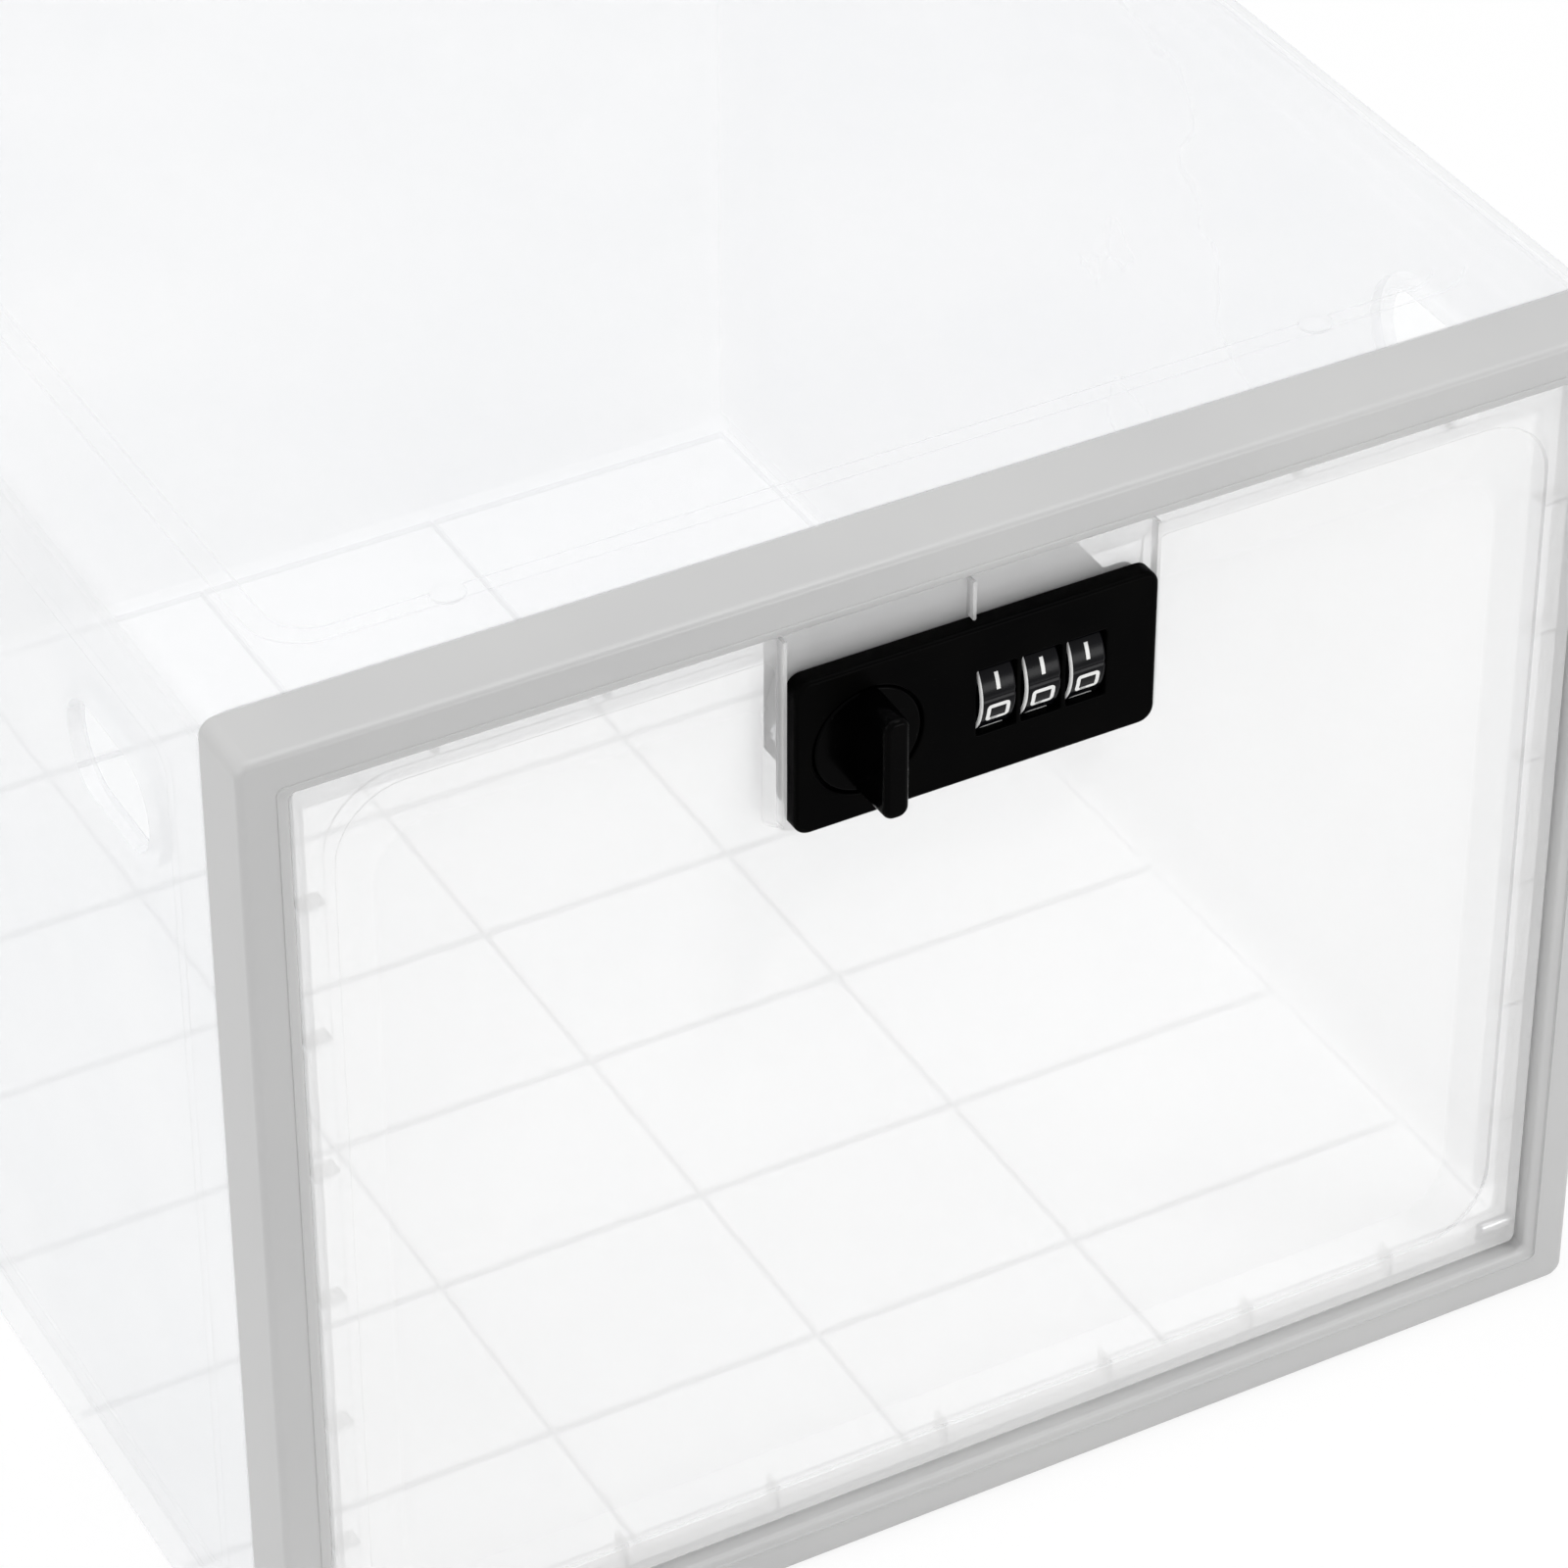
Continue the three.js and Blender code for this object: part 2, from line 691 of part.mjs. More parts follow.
// One dial, on the axis of the spindle at X = 0
function dial() {
  const half = dialThickness / 2;
  const bore = sleeveRadius + gap;
  const profile = [
    new THREE.Vector2(bore, -half),
    new THREE.Vector2(dialRadius - dialChamfer, -half),
    new THREE.Vector2(dialRadius, dialChamfer - half),
    new THREE.Vector2(dialRadius, half - dialChamfer),
    new THREE.Vector2(dialRadius - dialChamfer, half),
    new THREE.Vector2(bore, half),
    new THREE.Vector2(bore, -half),
  ];
  const geometry = new THREE.LatheGeometry(profile, fineFacets);
  geometry.rotateZ(-Math.PI / 2);
  const keyway = keyWidth / 2 + gap;
  const slot = block([-half - overrun, half + overrun], [-keyway, keyway], [-bore - keyHeight, 0]);
  return cut(solid(geometry), slot);
}

// Sleeve inside a dial: a web with a gate that one fin of the spindle passes
function codeSleeve() {
  const half = sleeveLength / 2;
  const web = sleeveWeb / 2;
  const gateWidth = finWidth / 2 + gap;
  const key = block(
    [-dialThickness / 2, dialThickness / 2],
    [-keyWidth / 2, keyWidth / 2],
    [-sleeveRadius - keyHeight, -sleeveRadius + lap],
  );
  return cut(
    join(barX(sleeveRadius, [-half, half], 0, 0), key),
    barX(sleeveRoomRadius, [-half - overrun, -web], 0, 0),
    barX(sleeveRoomRadius, [web, half + overrun], 0, 0),
    barX(boreRadius, [-half, half], 0, 0),
    block([-web - lap, web + lap], [-gateWidth, gateWidth], [0, finReach + gap]),
  );
}

function codeSpindle() {
  const collarLeft = spindleLeft + collarSetBack;
  const fins = dialPlaces.map((x) => {
    const right = x - sleeveWeb / 2 - finGap;
    return block([right - finThickness, right], [-finWidth / 2, finWidth / 2], [0, finReach]);
  });
  return join(
    barX(spindleRadius, [spindleLeft, spindleRight], 0, 0),
    barX(collarRadius, [collarLeft, collarLeft + collarThickness], 0, 0),
    ...fins,
  );
}

// Coil between the spindle's collar and the wall of the dial room
function spindleSpring() {
  const start = spindleLeft + collarSetBack + collarThickness + gap + springWire / 2;
  const end = springRoomRight - gap - springWire / 2;
  const positions = [];
  const index = [];
  const rings = springTurns * coilSteps;
  const slope = (end - start) / (2 * Math.PI * springTurns);
  for (let ring = 0; ring <= rings; ring += 1) {
    const turn = (2 * Math.PI * ring) / coilSteps;
    const centre = new THREE.Vector3(
      start + slope * turn,
      springMeanRadius * Math.cos(turn),
      springMeanRadius * Math.sin(turn),
    );
    const outward = new THREE.Vector3(0, Math.cos(turn), Math.sin(turn));
    const along = new THREE.Vector3(
      slope,
      -springMeanRadius * Math.sin(turn),
      springMeanRadius * Math.cos(turn),
    ).normalize();
    const sideways = new THREE.Vector3().crossVectors(along, outward);
    for (let side = 0; side < wireSides; side += 1) {
      const angle = (2 * Math.PI * side) / wireSides;
      const point = centre.clone()
        .addScaledVector(outward, (springWire / 2) * Math.cos(angle))
        .addScaledVector(sideways, (springWire / 2) * Math.sin(angle));
      positions.push(point.x, point.y, point.z);
    }
  }
  for (let ring = 0; ring < rings; ring += 1) {
    for (let side = 0; side < wireSides; side += 1) {
      const a = ring * wireSides + side;
      const b = ring * wireSides + ((side + 1) % wireSides);
      index.push(a, b, b + wireSides, a, b + wireSides, a + wireSides);
    }
  }
  const last = rings * wireSides;
  for (let side = 1; side < wireSides - 1; side += 1) {
    index.push(0, side + 1, side, last, last + side, last + side + 1);
  }
  const geometry = new THREE.BufferGeometry();
  geometry.setAttribute('position', new THREE.Float32BufferAttribute(positions, 3));
  geometry.setIndex(index);
  return solid(geometry);
}

// Leaf comb on the floor of the case, with a finger bent up behind each dial
function detentSpring() {
  const floor = lockZ - roomHalfHeight + gap;
  const back = roomBack - gap;
  const reach = dialRadius + leafTipGap;
  const tipZ = lockZ - Math.sqrt(reach ** 2 - (back - leafThickness - dialAxisY) ** 2);
  const strip = block(
    [dialRoomLeft + gap, dialRoomRight - gap],
    [back - leafSeat, back],
    [floor, floor + leafThickness],
  );
  const fingers = dialPlaces.map((x) => {
    return block([x - leafWidth / 2, x + leafWidth / 2], [back - leafThickness, back], [floor, tipZ]);
  });
  return join(strip, ...fingers);
}

// Knob: disc and blade in front, shaft with a lobe, square end for the cam
function knob() {
  const discFront = lockFront + knobSink;
  const discBack = lockFront + wellDepth - gap;
  const blade = stadiumOutline(bladeLength, bladeWidth)
    .map((point) => new THREE.Vector2(knobX - point.y, lockZ + point.x));
  const square = squareSide / 2;
  const squareSpan = [caseBack - lap, camBack - gap];
  const lobeFront = dialAxisY - lobeThickness / 2;
  return cut(
    join(
      barY(wellRadius - knobSideGap, [discFront, discBack], knobX, lockZ, fineFacets),
      prismY(blade, [lockFront - bladeProud, discFront + lap]),
      barY(shaftRadius, [discBack - lap, caseBack], knobX, lockZ),
      barY(lobeRadius, [lobeFront, lobeFront + lobeThickness], knobX, lockZ - lobeOffset),
      block([knobX - square, knobX + square], squareSpan, [lockZ - square, lockZ + square]),
    ),
    barY(camScrewRadius + gap, [camBack - camScrewLength, camBack], knobX, lockZ, plainFacets),
  );
}

// Cam, pointing right along the back of the case while the box is unlocked
function latchCam() {
  const middle = (camLength - camWidth / 2) / 2;
  const outline = stadiumOutline(camLength + camWidth / 2, camWidth)
    .map((point) => new THREE.Vector2(point.x + knobX + middle, point.y + lockZ));
  const square = squareSide / 2 + gap;
  const squareSpan = [camFront - overrun, camBack + overrun];
  return cut(
    prismY(outline, [camFront, camBack]),
    block([knobX - square, knobX + square], squareSpan, [lockZ - square, lockZ + square]),
  );
}

function camWasher() {
  const front = camBack + gap;
  return cut(
    barY(washerRadius, [front, front + washerThickness], knobX, lockZ),
    barY(camScrewRadius + gap, [front - overrun, front + washerThickness + overrun], knobX, lockZ),
  );
}

// Pan-head screw along Y with its head at the back, and a slot across the head
function screw(radius, headRadius, headHeight, [tip, seat], x) {
  const slot = block(
    [x - headRadius, x + headRadius],
    [seat + headHeight / 2, seat + headHeight + overrun],
    [lockZ - lap, lockZ + lap],
  );
  return cut(
    join(
      barY(radius, [tip, seat + lap], x, lockZ),
      barY(headRadius, [seat, seat + headHeight], x, lockZ),
    ),
    slot,
  );
}

function camScrew() {
  const seat = camBack + washerThickness + 2 * gap;
  const tip = camBack - camScrewLength + gap;
  return screw(camScrewRadius, camScrewHeadRadius, camScrewHeadHeight, [tip, seat], knobX);
}

function lockScrew(x) {
  const tip = lockFront + screwTipWall + gap;
  return screw(screwRadius, screwHeadRadius, screwHeadHeight, [tip, flangeBack + gap], x);
}

function resetLever() {
  const left = endRoomRight - gap - leverThickness;
  const span = [left, left + leverThickness];
  const low = lockZ - leverLow;
  const back = roomBack - gap;
  const tabLow = low + (leverHeight - leverTabHeight) / 2;
  return join(
    block(span, [back - leverDepth, back], [low, low + leverHeight]),
    block(span, [back - lap, caseBack + leverTabReach], [tabLow, tabLow + leverTabHeight]),
  );
}

// Looks
const clearBody = { color: 0xeef2f5, roughness: 0.25, metalness: 0, transparent: true, opacity: 0.35 };
const clearDoor = { color: 0xf4f6f8, roughness: 0.2, metalness: 0, transparent: true, opacity: 0.4 };
const greyPlastic = { color: 0xc9c9c9, roughness: 0.45, metalness: 0 };
const blackPlastic = { color: 0x0b0b0c, roughness: 0.35, metalness: 0 };
const darkPlastic = { color: 0x1c1c1f, roughness: 0.6, metalness: 0 };
const whitePlastic = { color: 0xe4e2dc, roughness: 0.5, metalness: 0 };
const steel = { color: 0xb5b7ba, roughness: 0.3, metalness: 1 };
const zincAlloy = { color: 0x9a9ca0, roughness: 0.4, metalness: 1 };

const part = new THREE.Group();
part.position.y = (bladeProud - lockFront - boxDepth) / 2;

function place(parent, name, body, look) {
  const { vertProperties, triVerts } = body.getMesh();
  const geometry = new THREE.BufferGeometry();
  geometry.setAttribute('position', new THREE.BufferAttribute(new Float32Array(vertProperties), 3));
  geometry.setIndex(new THREE.BufferAttribute(new Uint32Array(triVerts), 1));
  geometry.computeVertexNormals();
  const mesh = new THREE.Mesh(geometry, new THREE.MeshStandardMaterial(look));
  mesh.name = name;
  parent.add(mesh);
  return mesh;
}

place(part, 'body_shell', bodyShell(), clearBody);
place(part, 'front_frame', frontFrame(), greyPlastic);
place(part, 'hinge_pin_left', hingePin(-1), steel);
place(part, 'hinge_pin_right', hingePin(1), steel);

place(part, 'door_panel', doorPanel(), clearDoor);
place(part, 'lock_face_plate', lockFacePlate(), blackPlastic);
place(part, 'lock_case', lockCase(), darkPlastic);
place(part, 'lock_screw_left', lockScrew(lockScrewPlaces[0]), steel);
place(part, 'lock_screw_right', lockScrew(lockScrewPlaces[1]), steel);
place(part, 'detent_spring', detentSpring(), steel);
place(part, 'reset_lever', resetLever(), whitePlastic);

// Pieces on the axis of the dials
const dialAxis = new THREE.Group();
dialAxis.position.set(0, dialAxisY, lockZ);
part.add(dialAxis);
dialPlaces.forEach((x, index) => {
  place(dialAxis, `dial_${index + 1}`, dial(), blackPlastic).position.x = x;
  place(dialAxis, `code_sleeve_${index + 1}`, codeSleeve(), zincAlloy).position.x = x;
});
place(dialAxis, 'code_spindle', codeSpindle(), zincAlloy);
place(dialAxis, 'spindle_spring', spindleSpring(), steel);

place(part, 'knob', knob(), blackPlastic);
place(part, 'latch_cam', latchCam(), steel);
place(part, 'cam_washer', camWasher(), steel);
place(part, 'cam_screw', camScrew(), steel);

export default part;
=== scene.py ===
"""Looks of the lockable storage box: clear body and door, grey frame, black dial lock.

Shapes are drawn in millimetres: X from the middle, Y from the frame's front plane to the
back, Z from the table. Each finished piece is moved into the frame's metres. A cutter runs
PAST what it cuts, joined solids reach into each other by OVERLAP, and ACROSS is a span
wider than the box.
"""

from __future__ import annotations

import logging
import math
from dataclasses import dataclass, field
from enum import Enum
from typing import Callable, ClassVar, Iterable, Sequence, Union

import bmesh
import bpy
from mathutils import Matrix, Vector


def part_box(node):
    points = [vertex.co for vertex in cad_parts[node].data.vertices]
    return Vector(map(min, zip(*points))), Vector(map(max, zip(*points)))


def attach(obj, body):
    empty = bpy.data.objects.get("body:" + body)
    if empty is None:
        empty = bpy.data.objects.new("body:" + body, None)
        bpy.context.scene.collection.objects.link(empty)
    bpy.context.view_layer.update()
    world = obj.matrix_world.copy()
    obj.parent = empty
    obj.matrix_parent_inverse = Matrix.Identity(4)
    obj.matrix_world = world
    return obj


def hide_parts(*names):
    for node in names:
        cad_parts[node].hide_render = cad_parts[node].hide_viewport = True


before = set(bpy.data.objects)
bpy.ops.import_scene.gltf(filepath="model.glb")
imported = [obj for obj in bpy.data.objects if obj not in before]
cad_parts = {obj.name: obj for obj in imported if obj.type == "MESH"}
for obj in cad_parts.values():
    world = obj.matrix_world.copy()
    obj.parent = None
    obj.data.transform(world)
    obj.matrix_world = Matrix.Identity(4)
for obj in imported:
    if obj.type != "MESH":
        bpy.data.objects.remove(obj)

LOG = logging.getLogger("storage_box")
MM = 0.001
PAST = 1.0
OVERLAP = 0.4
ACROSS = (-150.0, 150.0)
FRONT_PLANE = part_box("front_frame")[0].y

Point2 = tuple[float, float]
Corner = tuple[float, float, float]
Span = tuple[float, float]
Point3 = tuple[float, float, float]
Outline = list[Point2]
Feed = Union[bpy.types.NodeSocket, float, Point3]


class Joining(Enum):
    """How one solid is worked into another."""

    ADD = "UNION"
    CUT = "DIFFERENCE"


class Grain(Enum):
    """Kinds of fine surface structure."""

    SMOOTH = "smooth"
    SATIN = "satin"
    BRUSHED = "brushed"


# ---------------------------------------------------------------- outlines


def rounded_outline(corners: Sequence[Corner], steps: int = 6) -> Outline:
    """Rounds off each corner of a right-angled outline.

    Args:
        corners: Corners in order, each as across, up and radius.
        steps: Number of chords in each quarter turn.

    Returns:
        The points of the rounded outline.
    """
    points: Outline = []
    count = len(corners)
    for index, (x, z, radius) in enumerate(corners):
        here = Vector((x, z))
        back = (Vector(corners[index - 1][:2]) - here).normalized()
        ahead = (Vector(corners[(index + 1) % count][:2]) - here).normalized()
        turn = 1 if back.x * ahead.y - back.y * ahead.x < 0 else -1
        start = here + back * radius
        centre = start + ahead * radius
        spoke = start - centre
        for step in range(steps + 1):
            angle = turn * step * math.pi / 2 / steps
            across = spoke.x * math.cos(angle) - spoke.y * math.sin(angle)
            up = spoke.x * math.sin(angle) + spoke.y * math.cos(angle)
            points.append((centre.x + across, centre.y + up))
    return points


def rectangle(across: Span, up: Span, radius: float, steps: int = 6) -> Outline:
    """Gives a rectangle with rounded corners.

    Args:
        across: Lowest and highest value across.
        up: Lowest and highest value up.
        radius: Radius of the corners.
        steps: Number of chords in each quarter turn.

    Returns:
        The points of the outline.
    """
    (x0, x1), (z0, z1) = across, up
    corners = [(x0, z0, radius), (x1, z0, radius), (x1, z1, radius), (x0, z1, radius)]
    return rounded_outline(corners, steps)


def circle(radius: float, sides: int, middle: Point2 = (0.0, 0.0)) -> Outline:
    """Gives a circle.

    Args:
        radius: Its radius.
        sides: Number of its chords.
        middle: Its centre.

    Returns:
        The points of the outline.
    """
    turn = 2 * math.pi / sides
    return [
        (middle[0] + radius * math.cos(turn * k), middle[1] + radius * math.sin(turn * k))
        for k in range(sides)
    ]


def along_x(outline: Iterable[Point2], x: float) -> list[Point3]:
    """Stands an outline of Y and Z at a place along X."""
    return [(x, y, z) for y, z in outline]


def along_y(outline: Iterable[Point2], y: float) -> list[Point3]:
    """Stands an outline of X and Z at a place along Y."""
    return [(x, y, z) for x, z in outline]


def edge_rounds(span: Span, front: float, back: float, steps: int = 4) -> list[Point2]:
    """Lists inset and place pairs for a bar with rounded edges at both ends.

    Args:
        span: First and last place.
        front: Radius of the edge at the first place.
        back: Radius of the edge at the last place.
        steps: Number of chords in each round.

    Returns:
        Pairs of inset and place, from the first place to the last.
    """
    pairs: list[Point2] = []
    for step in range(steps + 1):
        angle = step * math.pi / 2 / steps
        pairs.append((front * (1 - math.sin(angle)), span[0] + front * (1 - math.cos(angle))))
    for step in range(steps + 1):
        angle = step * math.pi / 2 / steps
        pairs.append((back * (1 - math.cos(angle)), span[1] - back * (1 - math.sin(angle))))
    return pairs


# ---------------------------------------------------------------- solids


class Solid:
    """Closed mesh in millimetres."""

    def __init__(self, mesh: bpy.types.Mesh) -> None:
        """Keeps the mesh."""
        self.mesh = mesh

    @classmethod
    def from_rings(cls, rings: Sequence[Sequence[Point3]], looped: bool = False) -> Solid:
        """Skins a stack of rings, and closes both ends or joins the last ring to the first.

        Args:
            rings: Rings of as many points each, from one end to the other.
            looped: Whether the last ring is joined to the first.

        Returns:
            The closed solid.
        """
        shape = bmesh.new()
        rows = [[shape.verts.new(point) for point in ring] for ring in rings]
        count = len(rows[0])
        for near, far in zip(rows, rows[1:] + rows[:1] if looped else rows[1:]):
            for index in range(count):
                after = (index + 1) % count
                shape.faces.new((near[index], near[after], far[after], far[index]))
        if not looped:
            shape.faces.new(rows[0])
            shape.faces.new(rows[-1])
        bmesh.ops.recalc_face_normals(shape, faces=shape.faces)
        mesh = bpy.data.meshes.new("solid")
        shape.to_mesh(mesh)
        shape.free()
        return cls(mesh)

    @classmethod
    def loft(cls, outline: Callable[[float], Outline], pairs: Iterable[Point2]) -> Solid:
        """Skins an outline of X and Z that changes from place to place along Y.

        Args:
            outline: Gives the outline for a distance.
            pairs: Pairs of distance and place.

        Returns:
            The closed solid.
        """
        return cls.from_rings([along_y(outline(distance), y) for distance, y in pairs])

    @classmethod
    def block(cls, x: Span, y: Span, z: Span) -> Solid:
        """Gives the block between two corners."""
        return cls.prism([(x[0], z[0]), (x[1], z[0]), (x[1], z[1]), (x[0], z[1])], y)

    @classmethod
    def prism(cls, outline: Outline, y: Span) -> Solid:
        """Gives the prism of an outline of X and Z."""
        return cls.from_rings([along_y(outline, place) for place in y])

    @classmethod
    def bar_x(cls, radius: float, x: Span, middle: Point2, sides: int = 32) -> Solid:
        """Gives a round bar along X; its middle is Y and Z."""
        return cls.from_rings([along_x(circle(radius, sides, middle), place) for place in x])

    @classmethod
    def bar_y(cls, radius: float, y: Span, middle: Point2, sides: int = 32) -> Solid:
        """Gives a round bar along Y; its middle is X and Z."""
        return cls.prism(circle(radius, sides, middle), y)

    def _worked(self, others: Sequence[Solid], joining: Joining) -> Solid:
        """Works other solids into this one.

        Args:
            others: The solids to add or to cut away.
            joining: Whether they are added or cut away.

        Returns:
            The new solid.
        """
        items = [bpy.data.objects.new("shaping", one.mesh) for one in (self, *others)]
        for item in items:
            bpy.context.scene.collection.objects.link(item)
        for tool in items[1:]:
            step = items[0].modifiers.new("work", "BOOLEAN")
            step.operation = joining.value
            step.solver = "MANIFOLD"
            step.object = tool
        bpy.context.view_layer.update()
        graph = bpy.context.evaluated_depsgraph_get()
        mesh = bpy.data.meshes.new_from_object(items[0].evaluated_get(graph))
        for item in items:
            bpy.data.objects.remove(item)
        return Solid(mesh)

    def plus(self, *others: Solid) -> Solid:
        """Joins other solids to this one."""
        return self._worked(others, Joining.ADD)

    def minus(self, *others: Solid) -> Solid:
        """Cuts other solids away from this one."""
        return self._worked(others, Joining.CUT)

    def moved(self, matrix: Matrix) -> Solid:
        """Moves the solid."""
        self.mesh.transform(matrix)
        return self

    def piece(self, name: str, finish: Finish, sharp: float = 32.0) -> bpy.types.Object:
        """Turns the solid into a finished piece in metres.

        Args:
            name: Name of the piece.
            finish: Its finish.
            sharp: Angle in degrees over which an edge stays sharp.

        Returns:
            The object of the piece.
        """
        self.mesh.transform(Matrix.Translation((0, FRONT_PLANE, 0)) @ Matrix.Scale(MM, 4))
        self.mesh.shade_smooth()
        self.mesh.set_sharp_from_angle(angle=math.radians(sharp))
        self.mesh.materials.clear()
        self.mesh.materials.append(finish.material())
        item = bpy.data.objects.new(name, self.mesh)
        bpy.context.scene.collection.objects.link(item)
        normals = item.modifiers.new("even_normals", "WEIGHTED_NORMAL")
        normals.keep_sharp = True
        LOG.info("%s: %d faces", name, len(self.mesh.polygons))
        return item


# ---------------------------------------------------------------- finishes


class Nodes:
    """Node tree, with short ways to add the nodes that are used most."""

    def __init__(self, tree: bpy.types.NodeTree) -> None:
        """Keeps the tree."""
        self.tree = tree

    def feed(self, socket: bpy.types.NodeSocket, value: Feed) -> None:
        """Links another socket to an input, or sets a number there."""
        if isinstance(value, bpy.types.NodeSocket):
            self.tree.links.new(value, socket)
        else:
            socket.default_value = value

    def add(self, kind: str, **inputs: Feed) -> bpy.types.Node:
        """Adds a node.

        Args:
            kind: Kind of the node.
            **inputs: What feeds its inputs, by name, with _ for a space.

        Returns:
            The node.
        """
        node = self.tree.nodes.new(kind)
        for name, value in inputs.items():
            self.feed(node.inputs[name.replace("_", " ")], value)
        return node

    def maths(self, operation: str, *values: Feed) -> bpy.types.NodeSocket:
        """Adds one sum.

        Args:
            operation: Kind of the sum.
            *values: What goes into it, in order.

        Returns:
            The socket with the result.
        """
        node = self.tree.nodes.new("ShaderNodeMath")
        node.operation = operation
        for socket, value in zip(node.inputs, values):
            self.feed(socket, value)
        return node.outputs["Value"]

    def spread(
        self, value: Feed, target: Span, source: Span = (0.0, 1.0)
    ) -> bpy.types.NodeSocket:
        """Carries a value from one span over to another.

        Args:
            value: The value.
            target: Span of the result.
            source: Span of the value.

        Returns:
            The socket with the result.
        """
        return self.add(
            "ShaderNodeMapRange", Value=value, From_Min=source[0], From_Max=source[1],
            To_Min=target[0], To_Max=target[1],
        ).outputs["Result"]

    def seen(self) -> bpy.types.NodeSocket:
        """Gives a socket that is 1 for camera, glossy and transmission rays."""
        path = self.tree.nodes.new("ShaderNodeLightPath").outputs
        first = self.maths("MAXIMUM", path["Is Camera Ray"], path["Is Glossy Ray"])
        return self.maths("MAXIMUM", first, path["Is Transmission Ray"])


@dataclass(frozen=True)
class Finish:
    """Procedural finish: colour with slight variation, painted shade on slopes and edges where set,
    sheen and fine surface structure.
    """

    name: str
    colour: tuple[float, float, float]
    second_colour: tuple[float, float, float]
    roughness: Span
    grain: Grain = Grain.SATIN
    grain_size: float = 0.6
    grain_depth: float = 0.02
    patch_size: float = 30.0
    metallic: float = 0.0
    alpha: float = 1.0
    ior: float = 1.5
    specular: float = 0.5
    edge_alpha: float = 0.0
    light_through: float = 0.7
    # Painted shade: how much slopes and edges are darkened, and from which slant on.
    painted_side_shade: float = 0.0
    painted_shade_limit: float = 0.6

    patch_span: ClassVar[Span] = (0.3, 0.7)
    patch_detail: ClassVar[float] = 3.0
    grain_detail: ClassVar[float] = 2.0
    bump: ClassVar[dict[Grain, float]] = {
        Grain.SMOOTH: 0.35, Grain.SATIN: 0.7, Grain.BRUSHED: 0.7,
    }
    edge_power: ClassVar[float] = 3.0
    brush_stretch: ClassVar[Point3] = (0.06, 1.0, 1.0)

    def material(self) -> bpy.types.Material:
        """Builds the material, or gives the one already built.

        Returns:
            The material.
        """
        title = f"{self.name}_finish"
        known = bpy.data.materials.get(title)
        if known:
            return known
        material = bpy.data.materials.new(title)
        material.use_nodes = True
        nodes = Nodes(material.node_tree)
        sockets = material.node_tree.nodes["Principled BSDF"].inputs
        sockets["Metallic"].default_value = self.metallic
        sockets["IOR"].default_value = self.ior
        sockets["Alpha"].default_value = self.alpha
        sockets["Specular IOR Level"].default_value = self.specular
        if self.edge_alpha:
            nodes.feed(sockets["Alpha"], self._density(nodes))
        place = nodes.add("ShaderNodeTexCoord").outputs["Object"]
        patches = self._noise(nodes, place, self.patch_size, self.patch_detail)
        nodes.feed(sockets["Base Color"], self._colour(nodes, patches))
        nodes.feed(sockets["Roughness"], nodes.spread(patches, self.roughness, self.patch_span))
        nodes.feed(sockets["Normal"], self._grain(nodes, place))
        return material

    @staticmethod
    def _noise(
        nodes: Nodes, place: bpy.types.NodeSocket, size: float, detail: float
    ) -> bpy.types.NodeSocket:
        """Adds a noise pattern.

        Args:
            nodes: Node tree of the material.
            place: Socket that gives the place on the piece.
            size: Size of its patches in millimetres.
            detail: Number of finer layers.

        Returns:
            The socket with the pattern's value.
        """
        scale = 1 / (size * MM)
        noise = nodes.add("ShaderNodeTexNoise", Vector=place, Scale=scale, Detail=detail)
        return noise.outputs["Fac"]

    def _colour(self, nodes: Nodes, patches: bpy.types.NodeSocket) -> bpy.types.NodeSocket:
        """Lets the colour wander between the finish's two colours, and paints shade on slopes and
        edges where set.

        Args:
            nodes: Node tree of the material.
            patches: Socket with the value of the patches.

        Returns:
            The socket with the colour.
        """
        ramp = nodes.add("ShaderNodeValToRGB", Fac=patches)
        low, high = ramp.color_ramp.elements
        low.position, high.position = self.patch_span
        low.color = (*self.colour, 1)
        high.color = (*self.second_colour, 1)
        colour = ramp.outputs["Color"]
        return self._paint_shade_on_sides(nodes, colour) if self.painted_side_shade else colour

    def _paint_shade_on_sides(self, nodes: Nodes, colour: bpy.types.NodeSocket) -> bpy.types.NodeSocket:
        """Paints shade: darkens the colour on slopes, ribs and edges, which stand across the panel.

        Args:
            nodes: Node tree of the material.
            colour: Socket with the plain colour.

        Returns:
            The socket with the colour darkened by painted shade.
        """
        normal = nodes.add("ShaderNodeTexCoord").outputs["Normal"]
        across = nodes.add("ShaderNodeSeparateXYZ", Vector=normal).outputs["Y"]
        # Painted shade: the colour darkens as the surface turns away from the front.
        square = nodes.maths("MULTIPLY", across, across)
        share = nodes.spread(square, (1.0 - self.painted_side_shade, 1.0), (self.painted_shade_limit, 1.0))
        shaded_colour = nodes.add("ShaderNodeVectorMath")
        shaded_colour.operation = "SCALE"
        nodes.feed(shaded_colour.inputs["Vector"], colour)
        nodes.feed(shaded_colour.inputs["Scale"], share)
        return shaded_colour.outputs["Vector"]

    def _density(self, nodes: Nodes) -> bpy.types.NodeSocket:
        """Makes clear plastic denser seen edge on, and lets scattered light pass through it.

        Args:
            nodes: Node tree of the material.

        Returns:
            The socket with the density.
        """
        facing = nodes.add("ShaderNodeLayerWeight", Blend=0.5).outputs["Facing"]
        edge_share = nodes.maths("POWER", facing, self.edge_power)
        density = nodes.spread(edge_share, (self.alpha, self.edge_alpha))
        shadow = nodes.add("ShaderNodeLightPath").outputs["Is Shadow Ray"]
        let_through = nodes.maths("MULTIPLY_ADD", shadow, -self.light_through, 1.0)
        return nodes.maths("MULTIPLY", density, let_through)

